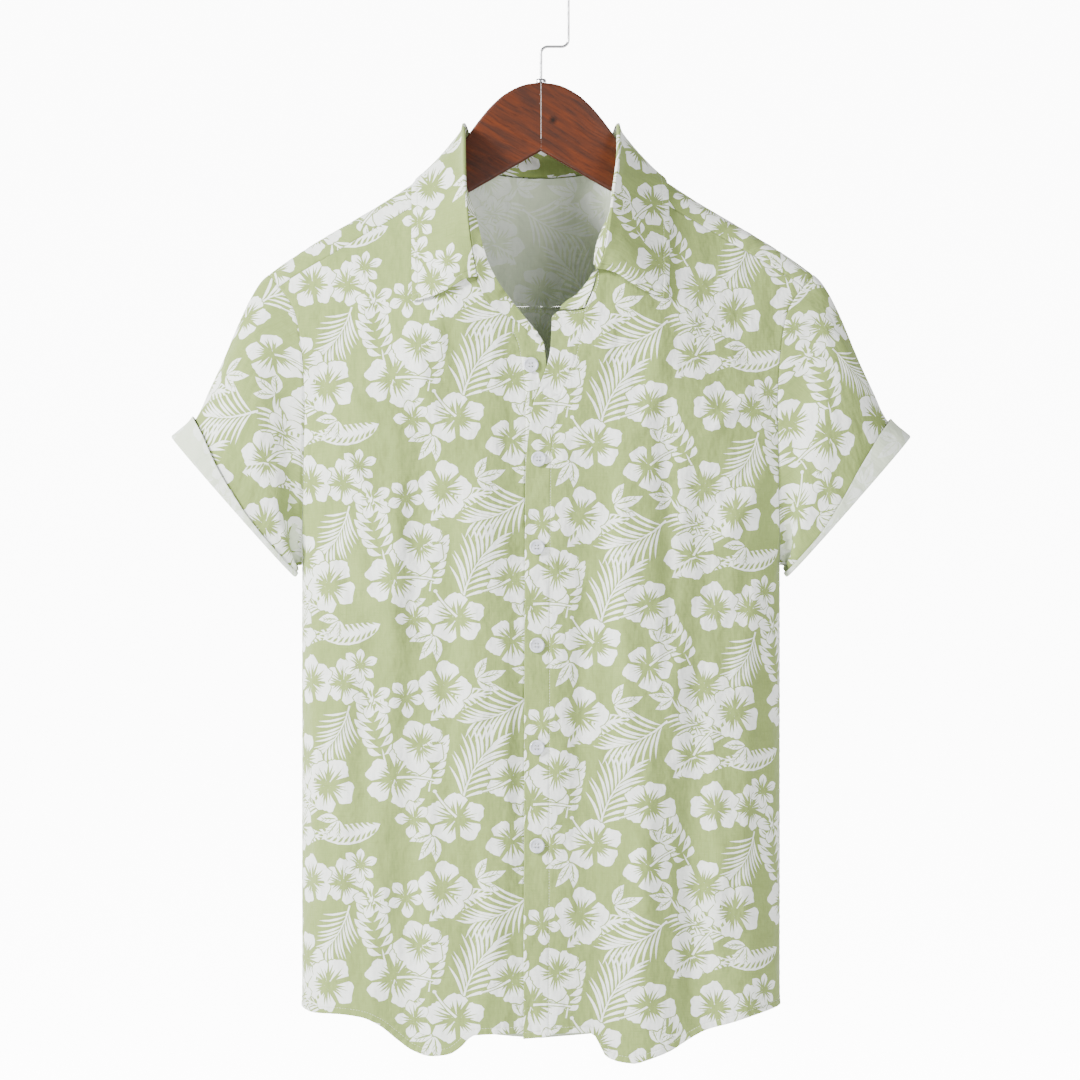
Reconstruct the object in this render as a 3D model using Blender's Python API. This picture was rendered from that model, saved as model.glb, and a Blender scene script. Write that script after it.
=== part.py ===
"""A short-sleeved hawaiian shirt hanging on a wooden hanger.

Metres, +Z up. The front faces -Y and the wearer's left is +X. The origin is the inside of
the hook's crest, where a rail carries the hanger. Sizes and tables are in millimetres, with
z measured up from that crest, and become metres when a mesh is made.
"""

import math
from collections import namedtuple

import bpy
import numpy as np
from mathutils import Vector

for old in list(bpy.data.objects):
    bpy.data.objects.remove(old, do_unlink=True)

MM = 0.001

# ------------------------------------------------------------------ driving dimensions
CLOTH = 1.2  # thickness of a cloth wall
SEAM_GAP = 0.3  # between pieces that are sewn together
LAYER_GAP = 0.4  # between a layer and the one it lies on

FRONT, BACK = -1, 1
RIGHT, LEFT = -1, 1  # the wearer's

BODY_HALF_WIDTH = 229.7
FRONT_DEPTH = 58.0  # how far the front stands off the hanger's plane
BACK_DEPTH = 50.0
RIDGE_RADIUS = 10.0  # of the cloth's turn over the hanger
SQUARENESS = 2.6  # of the body's cross-section, where 2 is an ellipse
UNDERARM_Z = -598.0
SPREAD_Z = -430.0  # where the columns of points of a front are evenly spread
FRONT_HEM_Z = -1040.0
YOKE_SEAM_Z = -346.0
FACING_WIDTH = 23.0  # of the turned-in front edges
FACING = 1.0  # thickness of a turned-in front edge
FACING_COLUMNS = 3
ARM_ROWS = 9  # rows of points from the shoulder to the underarm
SIDE_ROWS = 11  # rows of points from the underarm to the hem
BACK_COLUMNS = 24
YOKE_TO_TURN = np.array([0, 0.45, 0.75, 0.9, 1.0])  # shares of the way to the shoulder line
YOKE_PAST_TURN = np.array([0.035, 0.09, 0.22, 0.55, 1.0])  # shares of the way on to the back seam
YOKE_TURN_LIMITS = 0.04, 0.25  # where the neck edge lies near the shoulder line or behind it
YOKE_TURN = len(YOKE_TO_TURN) - 1  # the yoke's row along the shoulder line

BUTTON_RADIUS = 7.2
BUTTON_HEIGHT = 2.4

HANGER_HALF_THICKNESS = 6.0
HANGER_BEVEL = (2.5, 3.5)  # across the thickness, down the face
HANGER_UNDER_RIDGE = 2.9
HANGER_REACH = 222.0
ARM_END_LENGTH = 16.0  # of each arm's rounded end

HOOK_WIRE_RADIUS = 1.35
HOOK_RADIUS = 26.3
CRANK_Z = -98.8
CRANK_BEND = 6.5
HOOK_TIP_DROP = 14.0
FERRULE_RADIUS = 5.2
FERRULE_HEIGHT = 3.8
FERRULE_SIDES = 20

TORSO_INSIDE = (0, 0, -600)
COLLAR_INSIDE = (0, 0, -260)
SLEEVE_INSIDE_X, SLEEVE_INSIDE_Z = 275, -500

Finish = namedtuple("Finish", "colour roughness metallic")
PRINTED_COTTON = Finish((0.52, 0.57, 0.36), 0.85, 0.0)
COTTON_WRONG_SIDE = Finish((0.80, 0.81, 0.78), 0.88, 0.0)
BUTTON_RESIN = Finish((0.90, 0.91, 0.94), 0.25, 0.0)
STAINED_WOOD = Finish((0.25, 0.075, 0.03), 0.38, 0.0)
CHROME = Finish((0.75, 0.75, 0.76), 0.18, 1.0)

# ------------------------------------------------------------------ tables
# The shoulder line, over the hanger: height and how far below it the body reaches full depth
Ridge = namedtuple("Ridge", "x z settle")
RIDGE = [
    Ridge(0, -165.0, 112),
    Ridge(40, -169.0, 114),
    Ridge(60, -177.5, 120),
    Ridge(73, -187.0, 130),
    Ridge(84, -199.0, 142),
    Ridge(100, -214.0, 168),
    Ridge(124, -231.0, 205),
    Ridge(150, -248.0, 240),
    Ridge(183, -267.5, 275),
    Ridge(212, -284.5, 295),
    Ridge(240, -302.5, 310),
    Ridge(261, -317.5, 320),
    Ridge(290, -339.0, 320),
]

# Half the breadth that the cross-section would have if the cloth ran on past the armholes
Span = namedtuple("Span", "z half")
SPAN = [
    Span(-1100, BODY_HALF_WIDTH),
    Span(UNDERARM_Z, BODY_HALF_WIDTH),
    Span(-560, 235),
    Span(-500, 250),
    Span(-430, 273),
    Span(-330, 300),
    Span(-100, 300),
]

# The armhole seam, from the underarm up to the shoulder line
Armhole = namedtuple("Armhole", "z x")
ARMHOLE = [
    Armhole(-1100, BODY_HALF_WIDTH),
    Armhole(UNDERARM_Z, BODY_HALF_WIDTH),
    Armhole(-575, 229.2),
    Armhole(-535, 227.5),
    Armhole(-485, 226.5),
    Armhole(-450, 225.5),
    Armhole(-413, 227.0),
    Armhole(-386, 229.5),
    Armhole(-357, 235.0),
    Armhole(-345, 240.5),
    Armhole(-329, 252.5),
    Armhole(-317, 261.0),
]

# The yoke's front and neck edge from the armhole to the middle of the back neck, and where
# the same column of points crosses the shoulder line and meets the back seam
YokeEdge = namedtuple("YokeEdge", "x z side ridge_x back_x")
YOKE_EDGE = [
    YokeEdge(251.5, -330.5, FRONT, 261.5, 240.3),
    YokeEdge(241, -323.0, FRONT, 249, 231),
    YokeEdge(223, -312.0, FRONT, 229, 216),
    YokeEdge(198, -297.5, FRONT, 202, 194),
    YokeEdge(170, -281.0, FRONT, 173, 170),
    YokeEdge(142, -264.8, FRONT, 146, 147),
    YokeEdge(117, -250.3, FRONT, 122, 126),
    YokeEdge(96, -238.0, FRONT, 104, 108),
    YokeEdge(78, -227.5, FRONT, 92, 93),
    YokeEdge(82.5, -210.0, FRONT, 88, 80),
    YokeEdge(84.5, -199.5, FRONT, 84.8, 69),
    YokeEdge(79, -208.5, BACK, 79, 57),
    YokeEdge(64, -214.8, BACK, 64, 43),
    YokeEdge(44, -219.0, BACK, 44, 29),
    YokeEdge(22, -221.4, BACK, 22, 14),
    YokeEdge(0, -222.0, BACK, 0, 0),
]
SEAM_COLUMNS = 9  # the rows above that the front panels share

# Neck edges of the two fronts, from the yoke's corner to the turned-in front edge, then
# across that edge. The under front carries the buttons, and the over front laps over it.
Point = namedtuple("Point", "x z")
UNDER_NECK = [
    Point(-72, -239),
    Point(-66, -254),
    Point(-60.5, -271),
    Point(-56, -291),
    Point(-50, -311),
    Point(-42, -327),
    Point(-33, -340),
    Point(-26, -349.5),
]
UNDER_NECK_FACING = [Point(-18, -359), Point(-10, -369), Point(-3, -377)]
OVER_NECK = [
    Point(77.0, -241),
    Point(70.5, -255),
    Point(63.0, -270),
    Point(56.5, -285),
    Point(52.5, -299),
    Point(51.5, -312),
    Point(52.5, -324),
    Point(49.5, -336),
    Point(41.8, -354),
]
OVER_NECK_FACING = [Point(31, -356), Point(18, -356), Point(11, -361)]

# The front edges: where they lie, and how wide the turned-in strip behind them shows
FrontEdge = namedtuple("FrontEdge", "z x width")
UNDER_EDGE = [
    FrontEdge(-1100, 9.0, -FACING_WIDTH),
    FrontEdge(-430, 8.0, -FACING_WIDTH),
    FrontEdge(-407, 4.8, -FACING_WIDTH),
    FrontEdge(-386, 1.8, -FACING_WIDTH),
    FrontEdge(-377, -3.0, -FACING_WIDTH),
]
OVER_EDGE = [
    FrontEdge(-1100, -15.8, FACING_WIDTH),
    FrontEdge(-535, -14.2, FACING_WIDTH),
    FrontEdge(-497, -13.3, FACING_WIDTH),
    FrontEdge(-469, -10.4, FACING_WIDTH),
    FrontEdge(-440, -5.7, FACING_WIDTH),
    FrontEdge(-427, -0.9, FACING_WIDTH),
    FrontEdge(-411, 5.4, 23.5),
    FrontEdge(-388, 10.0, 26.0),
    FrontEdge(-361, 10.8, 30.5),
]

UNDER_HEM = [
    Point(-230, -1021.0),
    Point(-217, -1024.5),
    Point(-196, -1024.5),
    Point(-172, -1027.0),
    Point(-153, -1035.0),
    Point(-138, -1047.0),
    Point(-122, -1058.5),
    Point(-105, -1063.5),
    Point(-88, -1061.5),
    Point(-77, -1055.0),
    Point(-64, -1043.0),
    Point(-45, -1041.8),
    Point(10, -1041.5),
]
OVER_HEM = [
    Point(-16, -1046.4),
    Point(0, -1045.0),
    Point(14, -1041.8),
    Point(46, -1041.0),
    Point(53, -1046.0),
    Point(60, -1062.0),
    Point(75, -1068.3),
    Point(89, -1069.7),
    Point(99, -1067.0),
    Point(124, -1057.8),
    Point(138, -1049.3),
    Point(158, -1039.0),
    Point(180, -1033.0),
    Point(200, -1027.0),
    Point(230, -1019.0),
]
BACK_HEM = [
    Point(0, -1057.8),
    Point(60, -1053.0),
    Point(110, -1045.0),
    Point(150, -1035.0),
    Point(190, -1026.0),
    Point(230, -1020.0),
]

# Soft vertical folds: where each runs from and to, its width, its height (a trough where
# negative) and the height at which it starts
Fold = namedtuple("Fold", "x_top x_hem width height start_z")
FRONT_FOLDS = [
    Fold(-190, -205, 24, 3.0, -620),
    Fold(-112, -124, 24, -5.5, -400),
    Fold(-55, -50, 26, 4.0, -420),
    Fold(52, 44, 22, -4.5, -420),
    Fold(92, 98, 26, 4.5, -400),
    Fold(162, 152, 22, -5.5, -420),
    Fold(200, 198, 18, 3.5, -620),
]
BACK_FOLDS = [
    Fold(-165, -172, 26, -5.0, -440),
    Fold(-90, -96, 30, 5.0, -420),
    Fold(-14, -20, 26, -5.5, -400),
    Fold(62, 70, 28, 4.5, -430),
    Fold(140, 152, 26, -5.5, -440),
]
FOLD_TOP_Z = -330.0
FOLD_END_Z = -1040.0
FOLD_RUN_IN = 150.0

# Rings of a sleeve, past the armhole seam: how far along, the point on the shoulder side,
# the point on the underarm side and the depth of the tube's half
Ring = namedtuple("Ring", "along top_x top_z low_x low_z half_depth")
SLEEVE = [
    Ring(0.00, 261.5, -317.5, 230.5, -597.0, 40),
    Ring(0.14, 272.0, -335.0, 231.0, -598.0, 42),
    Ring(0.34, 289.0, -366.0, 231.8, -599.5, 43),
    Ring(0.54, 304.0, -398.0, 232.6, -601.0, 42),
    Ring(0.72, 319.0, -430.0, 233.6, -602.5, 40),
    Ring(0.86, 333.0, -458.5, 234.8, -604.0, 38),
    Ring(1.00, 353.5, -474.0, 236.5, -607.0, 36),
]
SLEEVE_STEPS = [0, 0.07, 0.14, 0.24, 0.36, 0.50, 0.64, 0.76, 0.86, 0.93, 1.0]
SLEEVE_BLEND = 0.6  # how far along the armhole's own shape has died out
SLEEVE_LENGTH = 60.0
SLEEVE_TURN_Z = -350.0, -480.0  # where the panels' edges stop running on into the sleeve
SleeveFold = namedtuple("SleeveFold", "along width height")
ARMPIT_FOLD = SleeveFold(0.2, 0.10, -6.0)

# How far the turned-up cuff reaches up the sleeve, from its top round to the underarm
CuffWidth = namedtuple("CuffWidth", "round_share left right")
CUFF_WIDTH = [
    CuffWidth(0.00, 25.0, 28.0),
    CuffWidth(0.10, 24.0, 24.0),
    CuffWidth(0.18, 21.5, 19.5),
    CuffWidth(0.31, 17.5, 13.0),
    CuffWidth(0.46, 11.5, 8.5),
    CuffWidth(0.60, 7.0, 5.0),
    CuffWidth(0.75, 3.6, 3.6),
    CuffWidth(1.00, 3.2, 3.2),
]
CUFF = 1.4  # thickness of the turned-up band
CUFF_FLARE = 2.2  # how far the band's free edge stands off at its widest
CUFF_STEPS = 3

# The collar from the under front's end, round the back of the neck, to the over front's end.
# A station is a point of the neck edge. There the stand's seam lies out from the cloth's edge
# and lifted off its face. Then come the roll line, lifted off the body, and the leaf's edge.
Collar = namedtuple(
    "Collar",
    "station out lift roll_x roll_z roll_side roll_lift edge_x edge_z edge_side",
    defaults=(0, 0, 0),
)
UNDER_COLLAR = [
    Collar(0, 0.3, 1.3, -5.5, -380.0, FRONT, -1.8),
    Collar(1, 0.3, 1.3, -13, -374.0, FRONT, -1.7),
    Collar(2, 0.3, 1.4, -24, -365.0, FRONT, -1.2),
    Collar(3, 0.3, 1.5, -37, -358.5, FRONT, 0.2),
    Collar(4, 0.3, 1.6, -47.5, -351.5, FRONT, 1.9),
    Collar(5, 0.3, 1.6, -55.5, -340.0, FRONT, 2.6),
    Collar(6, 0.3, 1.6, -60, -323.0, FRONT, 3.4, -122.5, -347.2, FRONT),
    Collar(7, 0.4, 1.5, -64.2, -301.0, FRONT, 5.4, -123, -324, FRONT),
    Collar(8, 0.5, 1.3, -67.5, -280.0, FRONT, 7.6, -123.5, -301, FRONT),
    Collar(9, 0.7, 0.9, -69.5, -260.0, FRONT, 9.8, -123.7, -278, FRONT),
    Collar(10, 0.9, 0.3, -71.3, -239.0, FRONT, 11.4, -124, -258, FRONT),
    Collar(11, 1.0, -0.2, -72.2, -221.0, FRONT, 12.0, -124.2, -245, FRONT),
    Collar(12, 1.0, -0.6, -72.8, -203.0, FRONT, 11.6, -124, -235.5, FRONT),
]
NECK_BACK = Collar(18, 1.0, -0.6, 0, -194.5, BACK, 18.0, 0, -244.5, BACK)
NECK_SIDE = [
    Collar(19, 1.0, -0.6, 21, -193.5, BACK, 17.6, 32, -244.4, BACK),
    Collar(20, 1.0, -0.6, 42, -192.5, BACK, 16.2, 63, -244, BACK),
    Collar(21, 1.0, -0.6, 59, -192.0, BACK, 14.2, 91, -243, BACK),
    Collar(22, 1.0, -0.6, 69, -191.5, BACK, 12.2, 111, -239, BACK),
    Collar(23, 1.0, -0.6, 73.2, -189.0, FRONT, 11.2, 120.5, -229.5, FRONT),
]
OVER_COLLAR = [
    Collar(24, 1.0, -0.6, 73, -203.0, FRONT, 11.8, 122, -237, FRONT),
    Collar(25, 1.0, -0.6, 72.2, -217.0, FRONT, 12.2, 122.3, -247, FRONT),
    Collar(26, 1.0, -0.6, 70, -234.0, FRONT, 12.2, 122.6, -260, FRONT),
    Collar(27, 1.1, 0.0, 67.3, -251.0, FRONT, 12.0, 122.9, -276, FRONT),
    Collar(28, 1.3, 0.3, 64.8, -268.0, FRONT, 11.3, 122.8, -293, FRONT),
    Collar(29, 1.5, 0.6, 62.3, -284.5, FRONT, 10.2, 122.5, -311, FRONT),
    Collar(30, 1.5, 0.6, 59.6, -299.0, FRONT, 8.8, 122.2, -328, FRONT),
    Collar(31, 1.5, 0.6, 56.0, -311.0, FRONT, 6.6, 121.8, -340, FRONT),
    Collar(31.5, 1.4, 0.2, 53.0, -316.5, FRONT, 4.8, 121.6, -345.3, FRONT),
    Collar(32, 1.3, 0.0, 49.8, -319.0, FRONT, 2.4),
    Collar(33, 1.1, -0.5, 42.5, -330.0, FRONT, -3.0),
    Collar(34, 1.0, -0.6, 33.0, -341.0, FRONT, -7.0),
    Collar(35, 1.0, -0.6, 26, -345.0, FRONT, -7.5),
    Collar(36, 1.0, -0.6, 19.5, -351.0, FRONT, -6.0),
]
NECK_TURN_STATIONS = [22.4, 22.7, 23.4, 23.7]  # more points where the leaf turns over the shoulder
STAND_ROWS = 4
LEAF_FOLD_RADIUS = 1.6  # of the leaf's turn over the stand's top edge
LEAF_OFF_STAND = 0.8  # how far that turn stands off the stand's top edge
LEAF_SHARES = [0.07, 0.2, 0.4, 0.65, 1.0]  # rows of points below the turn
LEAF_EDGE_LIFT = 3.0  # how far the leaf's edge lies off the body
LEAF_SWELL = 1.6  # roundness of the leaf between its turn and its edge

BUTTONS = [
    Point(-9.5, -407.1),
    Point(-2.2, -496.4),
    Point(-3.8, -580.0),
    Point(-3.8, -673.1),
    Point(-3.8, -770.0),
    Point(-3.8, -863.1),
]
UNDER_SINK = 2.9 + LAYER_GAP  # how far the under front lies behind the over front's face
SINK_FROM, SINK_TO = -54.0, -20.0

# One half of the hanger: its upper edge up to where it runs under the shoulder, and its
# lower edge
HANGER_TOP = [
    Point(0, -133.5),
    Point(12, -134.8),
    Point(20, -137.0),
    Point(35, -144.9),
    Point(47, -155.3),
    Point(57, -166.7),
    Point(64.6, -176.6),
    Point(72, -187.0),
    Point(80, -202.0),
    Point(88, -213.0),
    Point(100, -220.5),
]
HANGER_BOTTOM = [
    Point(0, -199.0),
    Point(67.5, -238.0),
    Point(130, -273.0),
    Point(180, -300.0),
    Point(212, -316.5),
    Point(HANGER_REACH, -321.0),
]


# ------------------------------------------------------------------ reading the tables
def curve_through(rows):
    """A function that reads the smooth curve through a table's rows, whose first column
    rises. It gives the other columns, and never overshoots a row."""
    table = np.array(rows, float)
    knots, values = table[:, 0], table[:, 1:]
    step = np.diff(knots)[:, None]
    slope = np.diff(values, axis=0) / step
    before, after = slope[:-1], slope[1:]
    same_way = before * after > 0
    total = np.where(same_way, before + after, 1.0)
    inner = np.where(same_way, 2 * before * after / total, 0.0)
    tangent = np.vstack([slope[:1], inner, slope[-1:]])

    def read(at):
        at = np.clip(np.asarray(at, float), knots[0], knots[-1])
        k = np.clip(np.searchsorted(knots, at, side="right") - 1, 0, len(step) - 1)
        length = step[k]
        share = (at - knots[k])[..., None] / length
        rise = values[k + 1] - values[k]
        first, last = length * tangent[k], length * tangent[k + 1]
        bend = 3 * rise - 2 * first - last
        twist = first + last - 2 * rise
        found = values[k] + share * (first + share * (bend + share * twist))
        return found[..., 0] if found.shape[-1] == 1 else found

    return read


def smooth_step(share):
    share = np.clip(share, 0.0, 1.0)
    return share * share * (3 - 2 * share)


def unit(vectors):
    return vectors / np.maximum(np.linalg.norm(vectors, axis=-1, keepdims=True), 1e-9)


ridge_at = curve_through(RIDGE)
span_at = curve_through(SPAN)
armhole_at = curve_through(ARMHOLE)
under_edge_at = curve_through(UNDER_EDGE)
over_edge_at = curve_through(OVER_EDGE)
under_hem_at = curve_through(UNDER_HEM)
over_hem_at = curve_through(OVER_HEM)
back_hem_at = curve_through(BACK_HEM)


# ------------------------------------------------------------------ the body's surface
def fold_height(x, z, side):
    down = np.clip((FOLD_TOP_Z - z) / (FOLD_TOP_Z - FOLD_END_Z), 0.0, 1.2)
    total = 0.0
    for fold in FRONT_FOLDS if side == FRONT else BACK_FOLDS:
        middle = fold.x_top + (fold.x_hem - fold.x_top) * down
        grown = smooth_step((fold.start_z - z) / FOLD_RUN_IN)
        total = total + fold.height * grown * np.exp(-(((x - middle) / fold.width) ** 2))
    return total


def body_y(x, z, side):
    """Where the cloth's outer face lies: rounded over the hanger, then standing off it."""
    x, z = np.broadcast_arrays(np.asarray(x, float), np.asarray(z, float))
    ridge = ridge_at(np.abs(x))
    drop = np.maximum(ridge[..., 0] - z, 0.0)
    turn = RIDGE_RADIUS * np.sqrt(1 - (1 - np.minimum(drop / RIDGE_RADIUS, 1)) ** 2)
    full = (FRONT_DEPTH if side == FRONT else BACK_DEPTH) - RIDGE_RADIUS
    settled = 1 - (1 - np.minimum(drop / ridge[..., 1], 1)) ** 2
    reach = np.minimum(np.abs(x) / span_at(z), 1.0)
    near_side = np.sqrt(1 - reach**8)
    rounding = (1 - reach**SQUARENESS) ** (1 / SQUARENESS)
    depth = (turn + fold_height(x, z, side)) * near_side + full * settled * rounding
    return side * depth


PROFILE_DROPS = 700.0 * np.linspace(0, 1, 260) ** 2


def profile(x, side):
    """Down the cloth from the shoulder line at this x: distance along it, and its y and z."""
    z = ridge_at(abs(x))[0] - PROFILE_DROPS
    y = body_y(x, z, side)
    steps = np.hypot(np.diff(y), np.diff(z))
    return np.concatenate([[0.0], np.cumsum(steps)]), y, z


def down_cloth(x, z, side):
    """Signed distance along the cloth from the shoulder line to height z."""
    along, _, heights = profile(x, side)
    return side * np.interp(-z, -heights, along)


def on_cloth(x, down, lift=0.0):
    """The point this far down the cloth, to the front where negative, lifted off its face."""
    side = FRONT if down < 0 else BACK
    along, y, z = profile(x, side)

    def at(distance):
        return np.array([np.interp(distance, along, y), np.interp(distance, along, z)])

    here = at(abs(down))
    down_the_face = at(abs(down) + 1.0) - at(max(abs(down) - 1.0, 0.0))
    face = unit(side * np.array([-down_the_face[1], down_the_face[0]]))
    return np.array([x, here[0] + face[0] * lift, here[1] + face[1] * lift])


def face_of_cloth(x, down):
    """The cloth's normal there, pointing out."""
    side = FRONT if down < 0 else BACK
    along_x = on_cloth(x + 1, down) - on_cloth(x - 1, down)
    away = side * max(abs(down), 1.0)
    along_down = on_cloth(x, away + side) - on_cloth(x, away - side)
    normal = unit(np.cross(along_x, along_down))
    return normal if normal[1] * side + normal[2] > 0 else -normal


def across_at(z, x_from, x_to, share, side):
    """The x that lies this share of the cloth's width from one edge to the other."""
    xs = span_at(z) * np.sin(np.linspace(-np.pi / 2, np.pi / 2, 181))
    along = np.concatenate([[0.0], np.cumsum(np.hypot(np.diff(xs), np.diff(body_y(xs, z, side))))])
    start, end = np.interp([x_from, x_to], xs, along)
    return np.interp(start + (end - start) * share, along, xs)


def rows_down(top_z, hem_z):
    """Heights of a column's points, with one at the underarm."""
    upper = np.linspace(top_z, UNDERARM_Z, ARM_ROWS + 1)
    lower = np.linspace(UNDERARM_Z, hem_z, SIDE_ROWS + 1)
    return np.concatenate([upper, lower[1:]])


# ------------------------------------------------------------------ making meshes
def face_normals(grid, ring=False):
    across = np.roll(grid, -1, 1) - np.roll(grid, 1, 1) if ring else np.gradient(grid, axis=1)
    return unit(np.cross(across, np.gradient(grid, axis=0)))


def outward(grid, inside, ring=False):
    """The grid's normals, turned away from a point inside."""
    normals = face_normals(grid, ring)
    away = np.sum(normals * (grid - np.array(inside, float)))
    return normals if away > 0 else -normals


def add_material(thing, finish):
    material = bpy.data.materials.new(thing.name)
    material.use_nodes = True
    shader = material.node_tree.nodes["Principled BSDF"]
    shader.inputs["Base Color"].default_value = (*finish.colour, 1.0)
    shader.inputs["Roughness"].default_value = finish.roughness
    shader.inputs["Metallic"].default_value = finish.metallic
    material.diffuse_color = (*finish.colour, 1.0)
    thing.data.materials.append(material)


def add_empty(name):
    empty = bpy.data.objects.new(name, None)
    bpy.context.collection.objects.link(empty)
    return empty


def add_object(name, data, finish, parent):
    thing = bpy.data.objects.new(name, data)
    bpy.context.collection.objects.link(thing)
    thing.parent = parent
    add_material(thing, finish)
    return thing


def signed_volume(points, faces):
    total = 0.0
    for face in faces:
        a = points[face[0]]
        for k in range(1, len(face) - 1):
            total += np.dot(a, np.cross(points[face[k]], points[face[k + 1]]))
    return total / 6


def add_mesh(name, points, faces, finish, parent):
    """One closed body with its faces pointing out."""
    points = np.asarray(points, float)
    if signed_volume(points, faces) < 0:
        faces = [face[::-1] for face in faces]
    mesh = bpy.data.meshes.new(name)
    mesh.from_pydata((points * MM).tolist(), [], [tuple(map(int, face)) for face in faces])
    mesh.shade_smooth()
    mesh.set_sharp_from_angle(angle=math.radians(40))
    return add_object(name, mesh, finish, parent)


def add_wall(name, front, rear, finish, parent, ring=False):
    """A cloth wall between two grids of points, open at its rims like a sheet or a tube."""
    rows, columns = front.shape[:2]
    points = np.vstack([front.reshape(-1, 3), rear.reshape(-1, 3)])
    behind = rows * columns

    def at(row, column):
        return row * columns + column % columns

    faces = []
    for row in range(rows - 1):
        for column in range(columns if ring else columns - 1):
            a, b = at(row, column), at(row, column + 1)
            c, d = at(row + 1, column + 1), at(row + 1, column)
            if np.linalg.norm(points[b] - points[d]) < np.linalg.norm(points[a] - points[c]):
                a, b, c, d = b, c, d, a
            faces += [(a, b, c), (a, c, d)]
            faces += [(behind + c, behind + b, behind + a), (behind + d, behind + c, behind + a)]
    for row, turned in ((0, False), (rows - 1, True)):
        for column in range(columns if ring else columns - 1):
            a, b = at(row, column), at(row, column + 1)
            rim = (b, a, behind + a, behind + b)
            faces.append(rim[::-1] if turned else rim)
    if not ring:
        for column, turned in ((0, False), (columns - 1, True)):
            for row in range(rows - 1):
                a, b = at(row, column), at(row + 1, column)
                rim = (a, b, behind + b, behind + a)
                faces.append(rim[::-1] if turned else rim)
    return add_mesh(name, points, faces, finish, parent)


# ------------------------------------------------------------------ fronts and back
Panel = namedtuple("Panel", "face normals")  # a grid of points on the outer face


def seam_tops(hand):
    return [Point(hand * row.x, row.z - SEAM_GAP) for row in YOKE_EDGE[:SEAM_COLUMNS]]


def front_grid(hand, neck, facing_neck, edge_at, hem_at, sink):
    """Columns of points from the armhole to the front edge, bunched along the seam and the
    neck and evenly spread lower down. The last ones share the turned-in strip's width."""
    tops = seam_tops(hand) + neck
    grid = []
    for number, top in enumerate(tops):
        arm, inner = hand * armhole_at(top.z), sum(edge_at(top.z))
        share_at_top = (top.x - arm) / (inner - arm)
        xs = []
        for z in rows_down(top.z, FRONT_HEM_Z):
            arm, inner = hand * armhole_at(z), sum(edge_at(z))
            even = across_at(z, arm, inner, number / (len(tops) - 1), FRONT)
            spread = smooth_step((top.z - z) / (top.z - SPREAD_Z))
            bunched = arm + (inner - arm) * share_at_top
            xs.append(bunched + (even - bunched) * spread)
        grid.append((np.array(xs), top.z))
    for number, top in enumerate(facing_neck, start=1):
        edges = np.array([edge_at(z) for z in rows_down(top.z, FRONT_HEM_Z)])
        xs = edges[:, 0] + edges[:, 1] * (1 - number / len(facing_neck))
        xs[0] = top.x
        grid.append((xs, top.z))
    grid = [
        np.stack([xs, xs * 0, rows_down(top_z, hem_at(xs[-1]))], axis=-1) for xs, top_z in grid
    ]
    grid = np.array(grid).transpose(1, 0, 2)
    grid[..., 1] = body_y(grid[..., 0], grid[..., 2], FRONT) + sink(grid[..., 0])
    grid[ARM_ROWS:, 0, 1] = -SEAM_GAP
    return Panel(grid, panel_normals(grid, 0))


def panel_normals(grid, *side_columns):
    """Normals of a panel's face, level along its side seams."""
    normals = outward(grid, TORSO_INSIDE)
    for column in side_columns:
        normals[ARM_ROWS:, column] = (np.sign(grid[-1, column, 0]), 0.0, 0.0)
    return normals


def under_sink(xs):
    return UNDER_SINK * smooth_step((xs - SINK_FROM) / (SINK_TO - SINK_FROM))


def back_grid():
    """Columns of points from one side seam to the other, below the yoke."""
    rows = []
    zs = rows_down(YOKE_SEAM_Z - SEAM_GAP, FRONT_HEM_Z)
    shares = np.linspace(0, 1, BACK_COLUMNS + 1)
    for z in zs:
        edge = armhole_at(z)
        xs = np.array([across_at(z, -edge, edge, share, BACK) for share in shares])
        rows.append(np.stack([xs, np.zeros_like(xs), np.full_like(xs, z)], axis=-1))
    grid = np.array(rows)
    for column in range(grid.shape[1]):
        grid[:, column, 2] = rows_down(zs[0], back_hem_at(abs(grid[-1, column, 0])))
    grid[..., 1] = body_y(grid[..., 0], grid[..., 2], BACK)
    grid[ARM_ROWS:, [0, -1], 1] = SEAM_GAP
    return Panel(grid, panel_normals(grid, 0, -1))


def yoke_grid():
    """Columns of points from the front seam or the neck, over the hanger, to the back seam."""
    mirrored = [
        row._replace(x=-row.x, ridge_x=-row.ridge_x, back_x=-row.back_x) for row in YOKE_EDGE
    ]
    columns = []
    for row in mirrored + YOKE_EDGE[-2::-1]:
        start = down_cloth(row.x, row.z + SEAM_GAP * (row.side == FRONT), row.side)
        end = down_cloth(row.back_x, YOKE_SEAM_Z, BACK)
        least, most = YOKE_TURN_LIMITS
        turn = np.clip(abs(start) / (end - start), least, 1 if row.side == FRONT else most)
        steps = np.concatenate([turn * YOKE_TO_TURN, turn + (1 - turn) * YOKE_PAST_TURN])
        if row.side == FRONT:
            xs = curve_through([(0, row.x), (turn, row.ridge_x), (1, row.back_x)])(steps)
        else:
            xs = row.x + (row.back_x - row.x) * steps
        columns.append([
            (on_cloth(x, down), face_of_cloth(x, down))
            for x, down in zip(xs, start + (end - start) * steps)
        ])
    columns = np.array(columns).transpose(2, 1, 0, 3)
    return Panel(columns[0], columns[1])


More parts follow.
